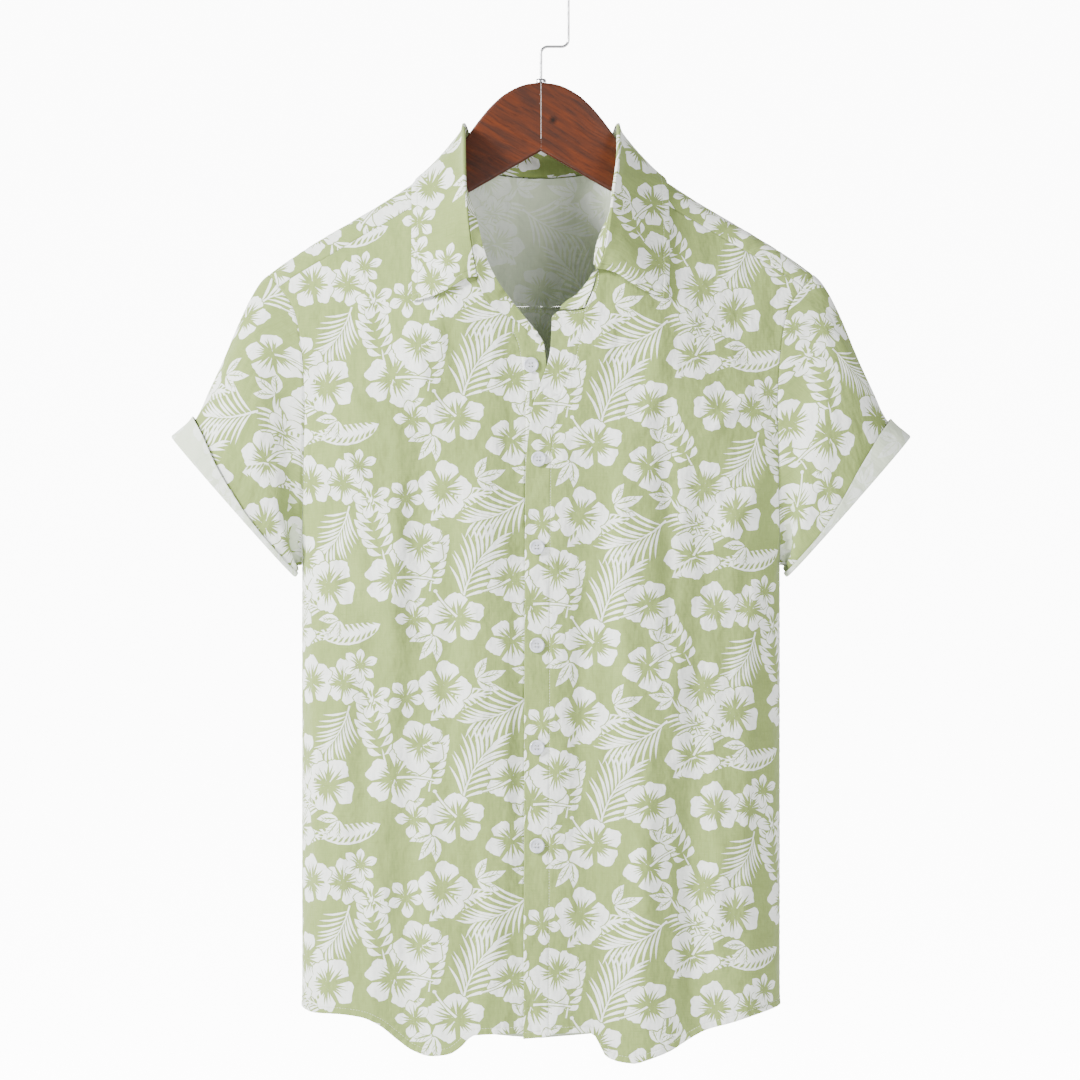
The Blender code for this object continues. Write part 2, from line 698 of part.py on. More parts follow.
# ------------------------------------------------------------------ sleeves and cuffs
def armhole_ring(hand, yoke, front, back):
    """Points round the armhole, over the shoulder from its top to the front, down to the
    underarm and up the back, with the panels' normals and the way to run on from there."""
    edge, inner = (0, 1) if hand == RIGHT else (-1, -2)
    places, normals, away = [], [], []
    for panel, column, beside, rows in (
        (yoke, edge, inner, range(YOKE_TURN, 0, -1)),
        (front, 0, 1, range(0, ARM_ROWS + 1)),
        (back, edge, inner, range(ARM_ROWS - 1, -1, -1)),
        (yoke, edge, inner, range(len(yoke.face) - 2, YOKE_TURN, -1)),
    ):
        for row in rows:
            places.append(panel.face[row, column])
            normals.append(panel.normals[row, column])
            away.append(unit(panel.face[row, column] - panel.face[row, beside]))
    places, normals, away = np.array(places), np.array(normals), np.array(away)
    sideways = smooth_step((places[:, 2:] - SLEEVE_TURN_Z[0]) / (SLEEVE_TURN_Z[1] - SLEEVE_TURN_Z[0]))
    run = unit(away * (1 - sideways) + np.array([hand, 0.0, 0.0]) * sideways)
    return places + run * SEAM_GAP, normals, run, sideways


def round_shares(ring):
    """How far round each point of an armhole ring lies, from the top to the underarm, and on
    which side."""
    low = YOKE_TURN + ARM_ROWS
    steps = np.linalg.norm(np.roll(ring, -1, axis=0) - ring, axis=1)
    down = np.concatenate([[0.0], np.cumsum(steps[:low])]) / steps[:low].sum()
    up = np.cumsum(steps[low:][::-1])[:-1][::-1] / steps[low:].sum()
    sides = np.array([FRONT] * len(down) + [BACK] * len(up))
    return np.concatenate([down, up]), sides


def sleeve_grid(hand, ring, run):
    shares, sides = round_shares(ring)
    angle = np.pi * np.minimum(shares, 1)
    bulge = np.abs(np.sin(angle))
    down = (1 - np.cos(angle)) / 2
    rings_at = curve_through(SLEEVE)
    rows = []
    for along in SLEEVE_STEPS:
        top_x, top_z, low_x, low_z, half_depth = rings_at(along)
        fold = ARMPIT_FOLD.height * np.exp(-(((along - ARMPIT_FOLD.along) / ARMPIT_FOLD.width) ** 2))
        depth = half_depth * bulge**0.8 + fold * bulge**2
        lens = np.stack(
            [hand * (top_x + (low_x - top_x) * down), sides * depth, top_z + (low_z - top_z) * down],
            axis=-1,
        )
        blend = smooth_step(along / SLEEVE_BLEND)
        rows.append((ring + run * SLEEVE_LENGTH * along) * (1 - blend) + lens * blend)
    return np.array(rows)


def cuff_grid(hand, sleeve, normals, shares):
    """A band lying on the sleeve's end, from its fold up to its free edge."""
    widths = curve_through(CUFF_WIDTH)((1 - np.cos(np.pi * shares)) / 2)
    widths = widths[:, 0] if hand == LEFT else widths[:, 1]
    columns = []
    for line, faces, width in zip(
        sleeve[::-1].transpose(1, 0, 2), normals[::-1].transpose(1, 0, 2), widths
    ):
        along = np.concatenate([[0.0], np.cumsum(np.linalg.norm(np.diff(line, axis=0), axis=1))])
        column = []
        for step in np.linspace(0, 1, CUFF_STEPS + 1):
            here = np.array([np.interp(width * step, along, line[:, axis]) for axis in range(3)])
            face = np.array([np.interp(width * step, along, faces[:, axis]) for axis in range(3)])
            stand_off = LAYER_GAP + CUFF + CUFF_FLARE * step * width / CUFF_WIDTH[0].left
            column.append(here + unit(face) * stand_off)
        columns.append(column)
    return np.array(columns).transpose(1, 0, 2)


# ------------------------------------------------------------------ collar
def neckline(under, over, yoke):
    """The neck edge from the under front's end, round the back, to the over front's end:
    places on it, the way out of the cloth there and the cloth's normals."""
    corner = SEAM_COLUMNS - 1
    places, away, normals = [], [], []
    for panel, columns in (
        (under, range(under.face.shape[1] - 1, corner, -1)),
        (yoke, range(corner, yoke.face.shape[1] - corner)),
        (over, range(corner + 1, over.face.shape[1])),
    ):
        for column in columns:
            places.append(panel.face[0, column])
            away.append(panel.face[0, column] - panel.face[1, column])
            normals.append(panel.normals[0, column])
    places, away, normals = np.array(places), np.array(away), np.array(normals)
    tangents = unit(np.gradient(places, axis=0))
    away = unit(away - tangents * np.sum(away * tangents, axis=1, keepdims=True))
    return places, away, normals


def collar_table():
    def mirrored(row):
        station = 2 * NECK_BACK.station - row.station
        return row._replace(station=station, roll_x=-row.roll_x, edge_x=-row.edge_x)

    table = UNDER_COLLAR + [mirrored(row) for row in NECK_SIDE[::-1]]
    table += [NECK_BACK] + NECK_SIDE + OVER_COLLAR
    rows = []
    for row in table:
        has_leaf = row.edge_side != 0
        roll_down = down_cloth(row.roll_x, row.roll_z, row.roll_side)
        edge_down = down_cloth(row.edge_x, row.edge_z, row.edge_side) if has_leaf else roll_down
        rows.append((
            row.station, row.out, row.lift, row.roll_x, roll_down, row.roll_lift,
            row.edge_x if has_leaf else row.roll_x, edge_down,
        ))
    leaf = [row.station for row in table if row.edge_side != 0]
    return np.array(rows, float), leaf[0], leaf[-1]


def collar_walls(under, over, yoke):
    """Both faces of the stand, from its seam to its top, and of the leaf, which turns over
    the stand's top and comes down to its edge."""
    table, leaf_from, leaf_to = collar_table()
    read = curve_through(table)
    neck = neckline(under, over, yoke)
    knots = np.arange(len(neck[0]))
    stations = set(range(OVER_COLLAR[-1].station + 1)) | {leaf_to}
    for station in NECK_TURN_STATIONS:
        stations |= {station, 2 * NECK_BACK.station - station}
    stations = sorted(stations)
    stand = []
    for station in stations:
        place, away, normal = (
            np.array([np.interp(station, knots, part[:, axis]) for axis in range(3)])
            for part in neck
        )
        out, lift, roll_x, roll_down, roll_lift, _, _ = read(station)
        seam = place + unit(away) * out + unit(normal) * lift
        roll = on_cloth(roll_x, roll_down, roll_lift)
        stand.append([seam + (roll - seam) * t for t in np.linspace(0, 1, STAND_ROWS)])
    stand = np.array(stand).transpose(1, 0, 2)
    inward = face_normals(stand)
    if inward[0, stations.index(NECK_BACK.station), 1] > 0:
        inward = -inward

    outer, inner = [], []
    for number, station in enumerate(stations):
        if not leaf_from <= station <= leaf_to:
            continue
        _, _, roll_x, roll_down, roll_lift, edge_x, edge_down = read(station)
        fall = []
        for t in LEAF_SHARES:
            lift = LEAF_EDGE_LIFT + (roll_lift + CLOTH - LEAF_EDGE_LIFT) * (1 - t) ** 1.4
            lift += LEAF_SWELL * math.sin(math.pi * t)
            x = roll_x + (edge_x - roll_x) * t
            fall.append(on_cloth(x, roll_down + (edge_down - roll_down) * t, lift))
        roll, side = stand[-1, number], inward[-1, number]
        up = unit(roll - stand[0, number])
        centre = roll + up * LEAF_OFF_STAND - side * LEAF_FOLD_RADIUS
        way = fall[1] - roll
        turn = max(math.atan2(-np.dot(way, side), np.dot(way, up)), 0.0)
        spokes = [side * math.cos(turn * t) + up * math.sin(turn * t) for t in (0, 0.5, 1)]
        outer.append([centre + spoke * (LEAF_FOLD_RADIUS + CLOTH / 2) for spoke in spokes] + fall)
        inner.append([centre + spoke * (LEAF_FOLD_RADIUS - CLOTH / 2) for spoke in spokes])
    outer = np.array(outer).transpose(1, 0, 2)
    inner = np.array(inner).transpose(1, 0, 2)
    under_side = (outer - outward(outer, COLLAR_INSIDE) * CLOTH)[len(inner) :]
    walls = stand + inward * CLOTH / 2, stand - inward * CLOTH / 2
    return walls, (outer, np.concatenate([inner, under_side]))


# ------------------------------------------------------------------ buttons
ButtonRing = namedtuple("ButtonRing", "radius height")
BUTTON_PROFILE = [
    ButtonRing(0.0, 0.0),
    ButtonRing(0.62, 0.0),
    ButtonRing(0.94, 0.35),
    ButtonRing(1.0, 0.6),
    ButtonRing(0.96, 0.9),
    ButtonRing(0.84, 1.0),
    ButtonRing(0.70, 0.74),
    ButtonRing(0.0, 0.68),
]
BUTTON_SIDES = 16


def turned_mesh(rings, sides):
    """Points and faces of a solid turned about +Z, from rings of (radius, height)."""
    points, loops = [], []
    for radius, height in rings:
        loop = []
        for k in range(sides if radius > 0 else 1):
            angle = 2 * math.pi * k / sides
            loop.append(len(points))
            points.append((radius * math.cos(angle), radius * math.sin(angle), height))
        loops.append(loop)
    faces = []
    for first, second in zip(loops, loops[1:]):
        for k in range(sides):
            a, b = first[k % len(first)], first[(k + 1) % len(first)]
            c, d = second[(k + 1) % len(second)], second[k % len(second)]
            faces.append(tuple(dict.fromkeys((a, b, c, d))))
    return points, faces


def add_button(number, place, sink, parent):
    """A button that lies flat on the front, this far behind the over front's face."""
    step = 3.0
    here = np.array([place.x, body_y(place.x, place.z, FRONT) + sink, place.z])
    slopes = [
        body_y(place.x + dx, place.z + dz, FRONT) - body_y(place.x - dx, place.z - dz, FRONT)
        for dx, dz in ((step, 0.0), (0.0, step))
    ]
    axis = unit(np.array([slopes[0] / (2 * step), -1.0, slopes[1] / (2 * step)]))
    rings = [(ring.radius * BUTTON_RADIUS, ring.height * BUTTON_HEIGHT) for ring in BUTTON_PROFILE]
    points, faces = turned_mesh(rings, BUTTON_SIDES)
    button = add_mesh(f"button_{number}", points, faces, BUTTON_RESIN, parent)
    button.location = (here + axis * LAYER_GAP) * MM
    button.rotation_euler = Vector(axis).to_track_quat("Z", "Y").to_euler()


# ------------------------------------------------------------------ hanger
def add_hanger_arm(name, hand, parent):
    """A flat board, bevelled along its edges, under one shoulder."""
    top_at = curve_through(HANGER_TOP)
    bottom_at = curve_through(HANGER_BOTTOM)
    stations = [0.2, 8, 16, 24, 32, 40, 48, 56, 64, 72, 80, 88, 104, 124, 150, 180]
    end_from = HANGER_REACH - ARM_END_LENGTH
    turn = np.radians([0, 20, 40, 58, 74, 86])
    stations += list(end_from + ARM_END_LENGTH * np.sin(turn))
    across, down = HANGER_BEVEL
    half = HANGER_HALF_THICKNESS
    sections = []
    for x in stations:
        on_arm = ridge_at(x)[0] - HANGER_UNDER_RIDGE
        top = top_at(x) if x < HANGER_TOP[-1].x else on_arm
        bottom = bottom_at(x)
        past = max(x - end_from, 0) / ARM_END_LENGTH
        round_off = math.sqrt(1 - min(past, 1) ** 2)
        middle = (top + bottom) / 2 - (1 - round_off) * 2
        reach = max((top - bottom) / 2 * round_off, down + 0.5)
        sections.append([
            (hand * x, y, middle + up * (reach - inset))
            for y, up, inset in (
                (-half, 1, down), (-half + across, 1, 0), (half - across, 1, 0), (half, 1, down),
                (half, -1, down), (half - across, -1, 0), (-half + across, -1, 0), (-half, -1, down),
            )
        ])
    points = np.array(sections).reshape(-1, 3)
    sides = len(sections[0])
    faces = [tuple(range(sides)), tuple(range(len(points) - sides, len(points)))[::-1]]
    for k in range(len(sections) - 1):
        for j in range(sides):
            a, b = k * sides + j, k * sides + (j + 1) % sides
            faces.append((b, a, a + sides, b + sides))
    add_mesh(name, points, faces, STAINED_WOOD, parent)


def bend(corner, before, after, radius, steps=7):
    """Points round a bend of this radius at a corner between two directions."""
    corner, before, after = np.array(corner), unit(np.array(before)), unit(np.array(after))
    angle = math.acos(float(np.clip(np.dot(before, after), -1, 1)))
    setback = radius * math.tan(angle / 2)
    start = corner - before * setback
    centre_way = unit(after - before * np.dot(before, after))
    centre = start + centre_way * radius
    found = []
    for k in range(steps + 1):
        turn = angle * k / steps
        found.append(centre - centre_way * radius * math.cos(turn) + before * radius * math.sin(turn))
    return found


def add_hook(parent):
    """Wire from the ferrule up, across in a crank, up again and round the hook."""
    up, right = (0.0, 0.0, 1.0), (1.0, 0.0, 0.0)
    crest_z = HOOK_WIRE_RADIUS
    centre_z = crest_z - HOOK_RADIUS
    route = [np.array([0.0, 0.0, HANGER_TOP[0].z + SEAM_GAP])]
    route += bend((0.0, 0.0, CRANK_Z), up, right, CRANK_BEND)
    route += bend((HOOK_RADIUS, 0.0, CRANK_Z), right, up, CRANK_BEND)
    for angle in np.linspace(0, math.pi, 19):
        spoke = np.array([math.cos(angle), 0.0, math.sin(angle)])
        route.append(np.array([0.0, 0.0, centre_z]) + spoke * HOOK_RADIUS)
    route.append(np.array([-HOOK_RADIUS, 0.0, centre_z - HOOK_TIP_DROP]))
    curve = bpy.data.curves.new("hanger_hook", "CURVE")
    curve.dimensions = "3D"
    curve.bevel_depth = HOOK_WIRE_RADIUS * MM
    curve.bevel_resolution = 2
    curve.use_fill_caps = True
    spline = curve.splines.new("POLY")
    spline.points.add(len(route) - 1)
    for point, place in zip(spline.points, route):
        point.co = (*(place * MM), 1.0)
    add_object("hanger_hook", curve, CHROME, parent)


def add_ferrule(parent):
    """A small washer round the wire, on top of the wood."""
    hole = HOOK_WIRE_RADIUS + SEAM_GAP
    outline = [
        (hole, 0.0),
        (FERRULE_RADIUS, 0.0),
        (FERRULE_RADIUS, FERRULE_HEIGHT * 0.55),
        (FERRULE_RADIUS * 0.8, FERRULE_HEIGHT * 0.85),
        (hole + 0.8, FERRULE_HEIGHT),
        (hole, FERRULE_HEIGHT),
    ]
    points, faces = turned_mesh(outline, FERRULE_SIDES)
    last = len(points) - FERRULE_SIDES
    for k in range(FERRULE_SIDES):
        beside = (k + 1) % FERRULE_SIDES
        faces.append((last + k, last + beside, beside, k))
    ferrule = add_mesh("hanger_ferrule", points, faces, CHROME, parent)
    ferrule.location = (0.0, 0.0, (HANGER_TOP[0].z + SEAM_GAP) * MM)


# ------------------------------------------------------------------ the whole shirt
def build():
    shirt, hanger = add_empty("shirt"), add_empty("hanger")
    no_sink = np.zeros_like
    under = front_grid(RIGHT, UNDER_NECK, UNDER_NECK_FACING, under_edge_at, under_hem_at, under_sink)
    over = front_grid(LEFT, OVER_NECK, OVER_NECK_FACING, over_edge_at, over_hem_at, no_sink)
    back = back_grid()
    yoke = yoke_grid()
    for name, panel in (
        ("front_under", under), ("front_over", over), ("back", back), ("yoke", yoke),
    ):
        add_wall(name, panel.face, panel.face - panel.normals * CLOTH, PRINTED_COTTON, shirt)
    for name, panel in (("placket_under", under), ("placket_over", over)):
        normals = panel.normals[:, -FACING_COLUMNS - 1 :]
        strip = panel.face[:, -FACING_COLUMNS - 1 :] - normals * (CLOTH + SEAM_GAP)
        add_wall(name, strip, strip - normals * FACING, PRINTED_COTTON, shirt)

    for hand, name, front in ((RIGHT, "right", under), (LEFT, "left", over)):
        inside = hand * SLEEVE_INSIDE_X, 0, SLEEVE_INSIDE_Z
        ring, ring_normals, run, sideways = armhole_ring(hand, yoke, front, back)
        sleeve = sleeve_grid(hand, ring, run)
        normals = outward(sleeve, inside, ring=True)
        normals[0] = unit(ring_normals * (1 - sideways) + normals[0] * sideways)
        rear = sleeve - normals * CLOTH
        add_wall(f"sleeve_{name}", sleeve, rear, PRINTED_COTTON, shirt, ring=True)
        cuff = cuff_grid(hand, sleeve, normals, round_shares(ring)[0])
        rear = cuff - outward(cuff, inside, ring=True) * CUFF
        add_wall(f"cuff_{name}", cuff, rear, COTTON_WRONG_SIDE, shirt, ring=True)

    stand, leaf = collar_walls(under, over, yoke)
    add_wall("collar_stand", *stand, PRINTED_COTTON, shirt)
    add_wall("collar_leaf", *leaf, PRINTED_COTTON, shirt)

    for number, place in enumerate(BUTTONS, start=1):
        add_button(number, place, float(under_sink(place.x)) if number == 1 else 0.0, shirt)
    add_hanger_arm("hanger_arm_right", RIGHT, hanger)
    add_hanger_arm("hanger_arm_left", LEFT, hanger)
    add_hook(hanger)
    add_ferrule(hanger)


build()
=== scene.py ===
"""The looks of a hawaiian shirt on a wooden hanger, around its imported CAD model.

Tables and surface sizes are in millimetres, with z measured up from the hook's crest, and
become metres when a mesh is made. The front faces -Y and the wearer's left is +X.
"""

import math
from collections import namedtuple

import bpy
import bmesh
import numpy as np
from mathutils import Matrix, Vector
from mathutils.geometry import delaunay_2d_cdt
from mathutils.kdtree import KDTree


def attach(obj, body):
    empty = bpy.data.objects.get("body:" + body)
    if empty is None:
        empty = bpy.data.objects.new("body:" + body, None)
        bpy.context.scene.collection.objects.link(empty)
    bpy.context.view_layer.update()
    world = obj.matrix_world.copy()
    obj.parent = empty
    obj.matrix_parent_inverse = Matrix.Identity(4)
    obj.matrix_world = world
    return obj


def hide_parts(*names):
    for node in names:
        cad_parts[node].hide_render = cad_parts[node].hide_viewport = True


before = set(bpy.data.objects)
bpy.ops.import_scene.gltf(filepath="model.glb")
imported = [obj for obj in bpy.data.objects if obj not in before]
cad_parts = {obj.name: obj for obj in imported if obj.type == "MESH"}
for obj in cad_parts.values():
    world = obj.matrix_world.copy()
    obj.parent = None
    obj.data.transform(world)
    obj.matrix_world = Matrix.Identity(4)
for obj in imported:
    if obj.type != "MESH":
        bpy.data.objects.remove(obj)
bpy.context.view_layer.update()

MM = 0.001

# ------------------------------------------------------------------ driving dimensions
CLOTH = 0.8  # thickness of the shown cloth
CAD_CLOTH = 1.2  # thickness of the cloth in the CAD model
SEAM_GAP = 0.15  # between pieces that are sewn together
CAD_SEAM_GAP = 0.3  # the same in the CAD model
LAYER_GAP = 0.4  # between a layer and the one it lies on

FRONT, BACK = -1, 1
RIGHT, LEFT = -1, 1  # the wearer's

BODY_HALF_WIDTH = 229.7
FRONT_DEPTH = 58.0  # how far the front stands off the hanger's plane
BACK_DEPTH = 50.0
RIDGE_RADIUS = 10.0  # of the cloth's turn over the hanger
SQUARENESS = 2.6  # of the body's cross-section, where 2 is an ellipse
UNDERARM_Z = -598.0
SPREAD_Z = -430.0  # where the columns of points of a front are evenly spread
NECK_BLEND = 25.0  # how far below the neck the front edge has its own place
FRONT_HEM_Z = -1040.0
YOKE_SEAM_Z = -346.0
FACING_WIDTH = 23.0  # of the turned-in front edges
FACING_COLUMNS = 3
ARM_ROWS = 45  # rows of points from the shoulder to the underarm
SIDE_ROWS = 66  # rows of points from the underarm to the hem
BACK_COLUMNS = 72
FINE = 3  # steps between two rows of a table
YOKE_TO_TURN = np.array([0, 0.45, 0.75, 0.9, 1.0])  # shares of the way to the shoulder line
YOKE_PAST_TURN = np.array([0.035, 0.09, 0.22, 0.55, 1.0])  # and on to the back seam
YOKE_TURN_LIMITS = 0.04, 0.25  # where the neck edge lies near the shoulder line or behind it
YOKE_TURN = (len(YOKE_TO_TURN) - 1) * FINE  # the yoke's row along the shoulder line

BUTTON_RADIUS = 7.2
BUTTON_HEIGHT = 2.4

HANGER_HALF_THICKNESS = 6.0
HANGER_BEVEL = (2.5, 3.5)  # across the thickness, down the face
HANGER_UNDER_RIDGE = 2.9
HANGER_REACH = 222.0
ARM_END_LENGTH = 16.0  # of each arm's rounded end

HOOK_WIRE_RADIUS = 1.35
HOOK_RADIUS = 26.3
CRANK_Z = -98.8
CRANK_BEND = 6.5
HOOK_TIP_DROP = 13.2  # the straight end, a little short of the CAD wire's
FERRULE_RADIUS = 5.2
FERRULE_HEIGHT = 3.8
FERRULE_SIDES = 40
FERRULE_CLEARANCE = 0.2  # between the washer and the wire

TORSO_INSIDE = (0, 0, -600)
COLLAR_INSIDE = (0, 0, -260)
SLEEVE_INSIDE_X, SLEEVE_INSIDE_Z = 275, -500

# ------------------------------------------------------------------ tables
def rows_of(kind, rows):
    """A table's rows with their columns named."""
    return [kind(*row) for row in rows]


# The shoulder line, over the hanger: height and how far below it the body reaches full depth
Ridge = namedtuple("Ridge", "x z settle")
RIDGE = rows_of(Ridge, [
    (0, -165.0, 112), (40, -169.0, 114), (60, -177.5, 120), (73, -187.0, 130), (84, -199.0, 142),
    (100, -214.0, 168), (124, -231.0, 205), (150, -248.0, 240), (183, -267.5, 275),
    (212, -284.5, 295), (240, -302.5, 310), (261, -317.5, 320), (290, -339.0, 320),
])

# Half the breadth that the cross-section would have if the cloth ran on past the armholes
Span = namedtuple("Span", "z half")
SPAN = rows_of(Span, [
    (-1100, BODY_HALF_WIDTH), (UNDERARM_Z, BODY_HALF_WIDTH), (-560, 235), (-500, 250), (-430, 273),
    (-330, 300), (-100, 300),
])

# The armhole seam, from the underarm up to the shoulder line
Armhole = namedtuple("Armhole", "z x")
ARMHOLE = rows_of(Armhole, [
    (-1100, BODY_HALF_WIDTH), (UNDERARM_Z, BODY_HALF_WIDTH), (-575, 229.2), (-535, 227.5),
    (-485, 226.5), (-450, 225.5), (-413, 227.0), (-386, 229.5), (-357, 235.0), (-345, 240.5),
    (-329, 252.5), (-317, 261.0),
])

# The yoke's front and neck edge from the armhole to the middle of the back neck, and where
# the same column of points crosses the shoulder line and meets the back seam
YokeEdge = namedtuple("YokeEdge", "x z side ridge_x back_x")
YOKE_EDGE = rows_of(YokeEdge, [
    (251.5, -330.5, FRONT, 261.5, 240.3), (241, -323.0, FRONT, 249, 231),
    (223, -312.0, FRONT, 229, 216), (198, -297.5, FRONT, 202, 194), (170, -281.0, FRONT, 173, 170),
    (142, -264.8, FRONT, 146, 147), (117, -250.3, FRONT, 122, 126), (96, -238.0, FRONT, 104, 108),
    (78, -227.5, FRONT, 92, 93), (82.5, -210.0, FRONT, 88, 80), (84.5, -199.5, FRONT, 84.8, 69),
    (79, -208.5, BACK, 79, 57), (64, -214.8, BACK, 64, 43), (44, -219.0, BACK, 44, 29),
    (22, -221.4, BACK, 22, 14), (0, -222.0, BACK, 0, 0),
])
SEAM_COLUMNS = 9  # the rows above that the front panels share

# Neck edges of the two fronts, from the yoke's corner to the turned-in front edge, then
# across that edge. The under front carries the buttons, and the over front laps over it.
Point = namedtuple("Point", "x z")
UNDER_NECK = rows_of(Point, [
    (-72, -239), (-66, -254), (-60.5, -271), (-56, -291), (-50, -311), (-42, -327), (-33, -340),
    (-26, -349.5),
])
UNDER_NECK_FACING = [Point(-18, -359), Point(-10, -369), Point(-3, -377)]
OVER_NECK = rows_of(Point, [
    (77.0, -241), (70.5, -255), (63.0, -270), (56.5, -285), (52.5, -299), (51.5, -312),
    (52.5, -324), (49.5, -336), (41.8, -354),
])
OVER_NECK_FACING = [Point(31, -356), Point(18, -356), Point(11, -361)]

# The front edges: where they lie, and how wide the turned-in strip behind them shows
FrontEdge = namedtuple("FrontEdge", "z x width")
UNDER_EDGE = rows_of(FrontEdge, [
    (-1100, 9.0, -FACING_WIDTH), (-430, 8.0, -FACING_WIDTH), (-407, 4.8, -FACING_WIDTH),
    (-386, 1.8, -FACING_WIDTH), (-377, -3.0, -FACING_WIDTH),
])
OVER_EDGE = rows_of(FrontEdge, [
    (-1100, -15.8, FACING_WIDTH), (-535, -14.2, FACING_WIDTH), (-497, -13.3, FACING_WIDTH),
    (-469, -10.4, FACING_WIDTH), (-440, -5.7, FACING_WIDTH), (-427, -0.9, FACING_WIDTH),
    (-411, 5.4, 23.5), (-388, 10.0, 26.0), (-361, 10.8, 30.5),
])

UNDER_HEM = rows_of(Point, [
    (-230, -1021.0), (-217, -1024.5), (-196, -1024.5), (-172, -1027.0), (-153, -1035.0),
    (-138, -1047.0), (-122, -1058.5), (-105, -1063.5), (-88, -1061.5), (-77, -1055.0),
    (-64, -1043.0), (-45, -1041.8), (10, -1041.5),
])
OVER_HEM = rows_of(Point, [
    (-16, -1046.4), (0, -1045.0), (14, -1041.8), (46, -1041.0), (53, -1046.0), (60, -1062.0),
    (75, -1068.3), (89, -1069.7), (99, -1067.0), (124, -1057.8), (138, -1049.3), (158, -1039.0),
    (180, -1033.0), (200, -1027.0), (230, -1019.0),
])
BACK_HEM = rows_of(Point, [
    (0, -1057.8), (60, -1053.0), (110, -1045.0), (150, -1035.0), (190, -1026.0), (230, -1020.0),
])

# Soft vertical folds: where each runs from and to, its width, its height (a trough where
# negative) and the height at which it starts
Fold = namedtuple("Fold", "x_top x_hem width height start_z")
FRONT_FOLDS = rows_of(Fold, [
    (-190, -205, 24, 3.0, -620), (-112, -124, 24, -5.5, -400), (-55, -50, 26, 4.0, -420),
    (52, 44, 22, -4.5, -420), (92, 98, 26, 4.5, -400), (162, 152, 22, -5.5, -420),
    (200, 198, 18, 3.5, -620),
])
BACK_FOLDS = rows_of(Fold, [
    (-165, -172, 26, -5.0, -440), (-90, -96, 30, 5.0, -420), (-14, -20, 26, -5.5, -400),
    (62, 70, 28, 4.5, -430), (140, 152, 26, -5.5, -440),
])
FOLD_TOP_Z = -330.0
FOLD_END_Z = -1040.0
FOLD_RUN_IN = 150.0

# Rings of a sleeve, past the armhole seam: how far along, the point on the shoulder side,
# the point on the underarm side and the depth of the tube's half
Ring = namedtuple("Ring", "along top_x top_z low_x low_z half_depth")
SLEEVE = rows_of(Ring, [
    (0.00, 261.5, -317.5, 230.5, -597.0, 40), (0.14, 272.0, -335.0, 231.0, -598.0, 42),
    (0.34, 289.0, -366.0, 231.8, -599.5, 43), (0.54, 304.0, -398.0, 232.6, -601.0, 42),
    (0.72, 319.0, -430.0, 233.6, -602.5, 40), (0.86, 333.0, -458.5, 234.8, -604.0, 38),
    (1.00, 353.5, -474.0, 236.5, -607.0, 36),
])
SLEEVE_ROWS = 36
SLEEVE_BLEND = 0.6  # how far along the armhole's own shape has died out
SLEEVE_LENGTH = 60.0
SLEEVE_TURN_Z = -350.0, -480.0  # where the panels' edges stop running on into the sleeve
SleeveFold = namedtuple("SleeveFold", "along width height")
ARMPIT_FOLD = SleeveFold(0.2, 0.10, -6.0)

# How far the turned-up cuff reaches up the sleeve, from its top round to the underarm
CuffWidth = namedtuple("CuffWidth", "round_share left right")
CUFF_WIDTH = rows_of(CuffWidth, [
    (0.00, 25.0, 28.0), (0.10, 24.0, 24.0), (0.18, 21.5, 19.5), (0.31, 17.5, 13.0),
    (0.46, 11.5, 8.5), (0.60, 7.0, 5.0), (0.75, 3.6, 3.6), (1.00, 3.2, 3.2),
])
CUFF = 1.4  # thickness of the turned-up band
CUFF_FLARE = 2.2  # how far the band's free edge stands off at its widest
CUFF_STEPS = 8
CUFF_TURN = np.radians([36, 72, 108, 144, 180])  # points round the sleeve's end
CUFF_TUCK = 8.0  # how far the cuff reaches back inside the sleeve

# The collar from the under front's end, round the back of the neck, to the over front's end.
# A station is a point of the neck edge. There the stand's seam lies out from the cloth's edge
# and lifted off its face. Then come the roll line, lifted off the body, and the leaf's edge.
Collar = namedtuple(
    "Collar",
    "station out lift roll_x roll_z roll_side roll_lift edge_x edge_z edge_side",
    defaults=(0, 0, 0),
)
UNDER_COLLAR = rows_of(Collar, [
    (0, 0.3, 1.3, -5.5, -380.0, FRONT, -1.8), (1, 0.3, 1.3, -13, -374.0, FRONT, -1.7),
    (2, 0.3, 1.4, -24, -365.0, FRONT, -1.2), (3, 0.3, 1.5, -37, -358.5, FRONT, 0.2),
    (4, 0.3, 1.6, -47.5, -351.5, FRONT, 1.9), (5, 0.3, 1.6, -55.5, -340.0, FRONT, 2.6),
    (6, 0.3, 1.6, -60, -323.0, FRONT, 3.4, -122.5, -347.2, FRONT),
    (7, 0.4, 1.5, -64.2, -301.0, FRONT, 5.4, -123, -324, FRONT),
    (8, 0.5, 1.3, -67.5, -280.0, FRONT, 7.6, -123.5, -301, FRONT),
    (9, 0.7, 0.9, -69.5, -260.0, FRONT, 9.8, -123.7, -278, FRONT),
    (10, 0.9, 0.3, -71.3, -239.0, FRONT, 11.4, -124, -258, FRONT),
    (11, 1.0, -0.2, -72.2, -221.0, FRONT, 12.0, -124.2, -245, FRONT),
    (12, 1.0, -0.6, -72.8, -203.0, FRONT, 11.6, -124, -235.5, FRONT),
])
NECK_BACK = Collar(18, 1.0, -0.6, 0, -194.5, BACK, 18.0, 0, -244.5, BACK)
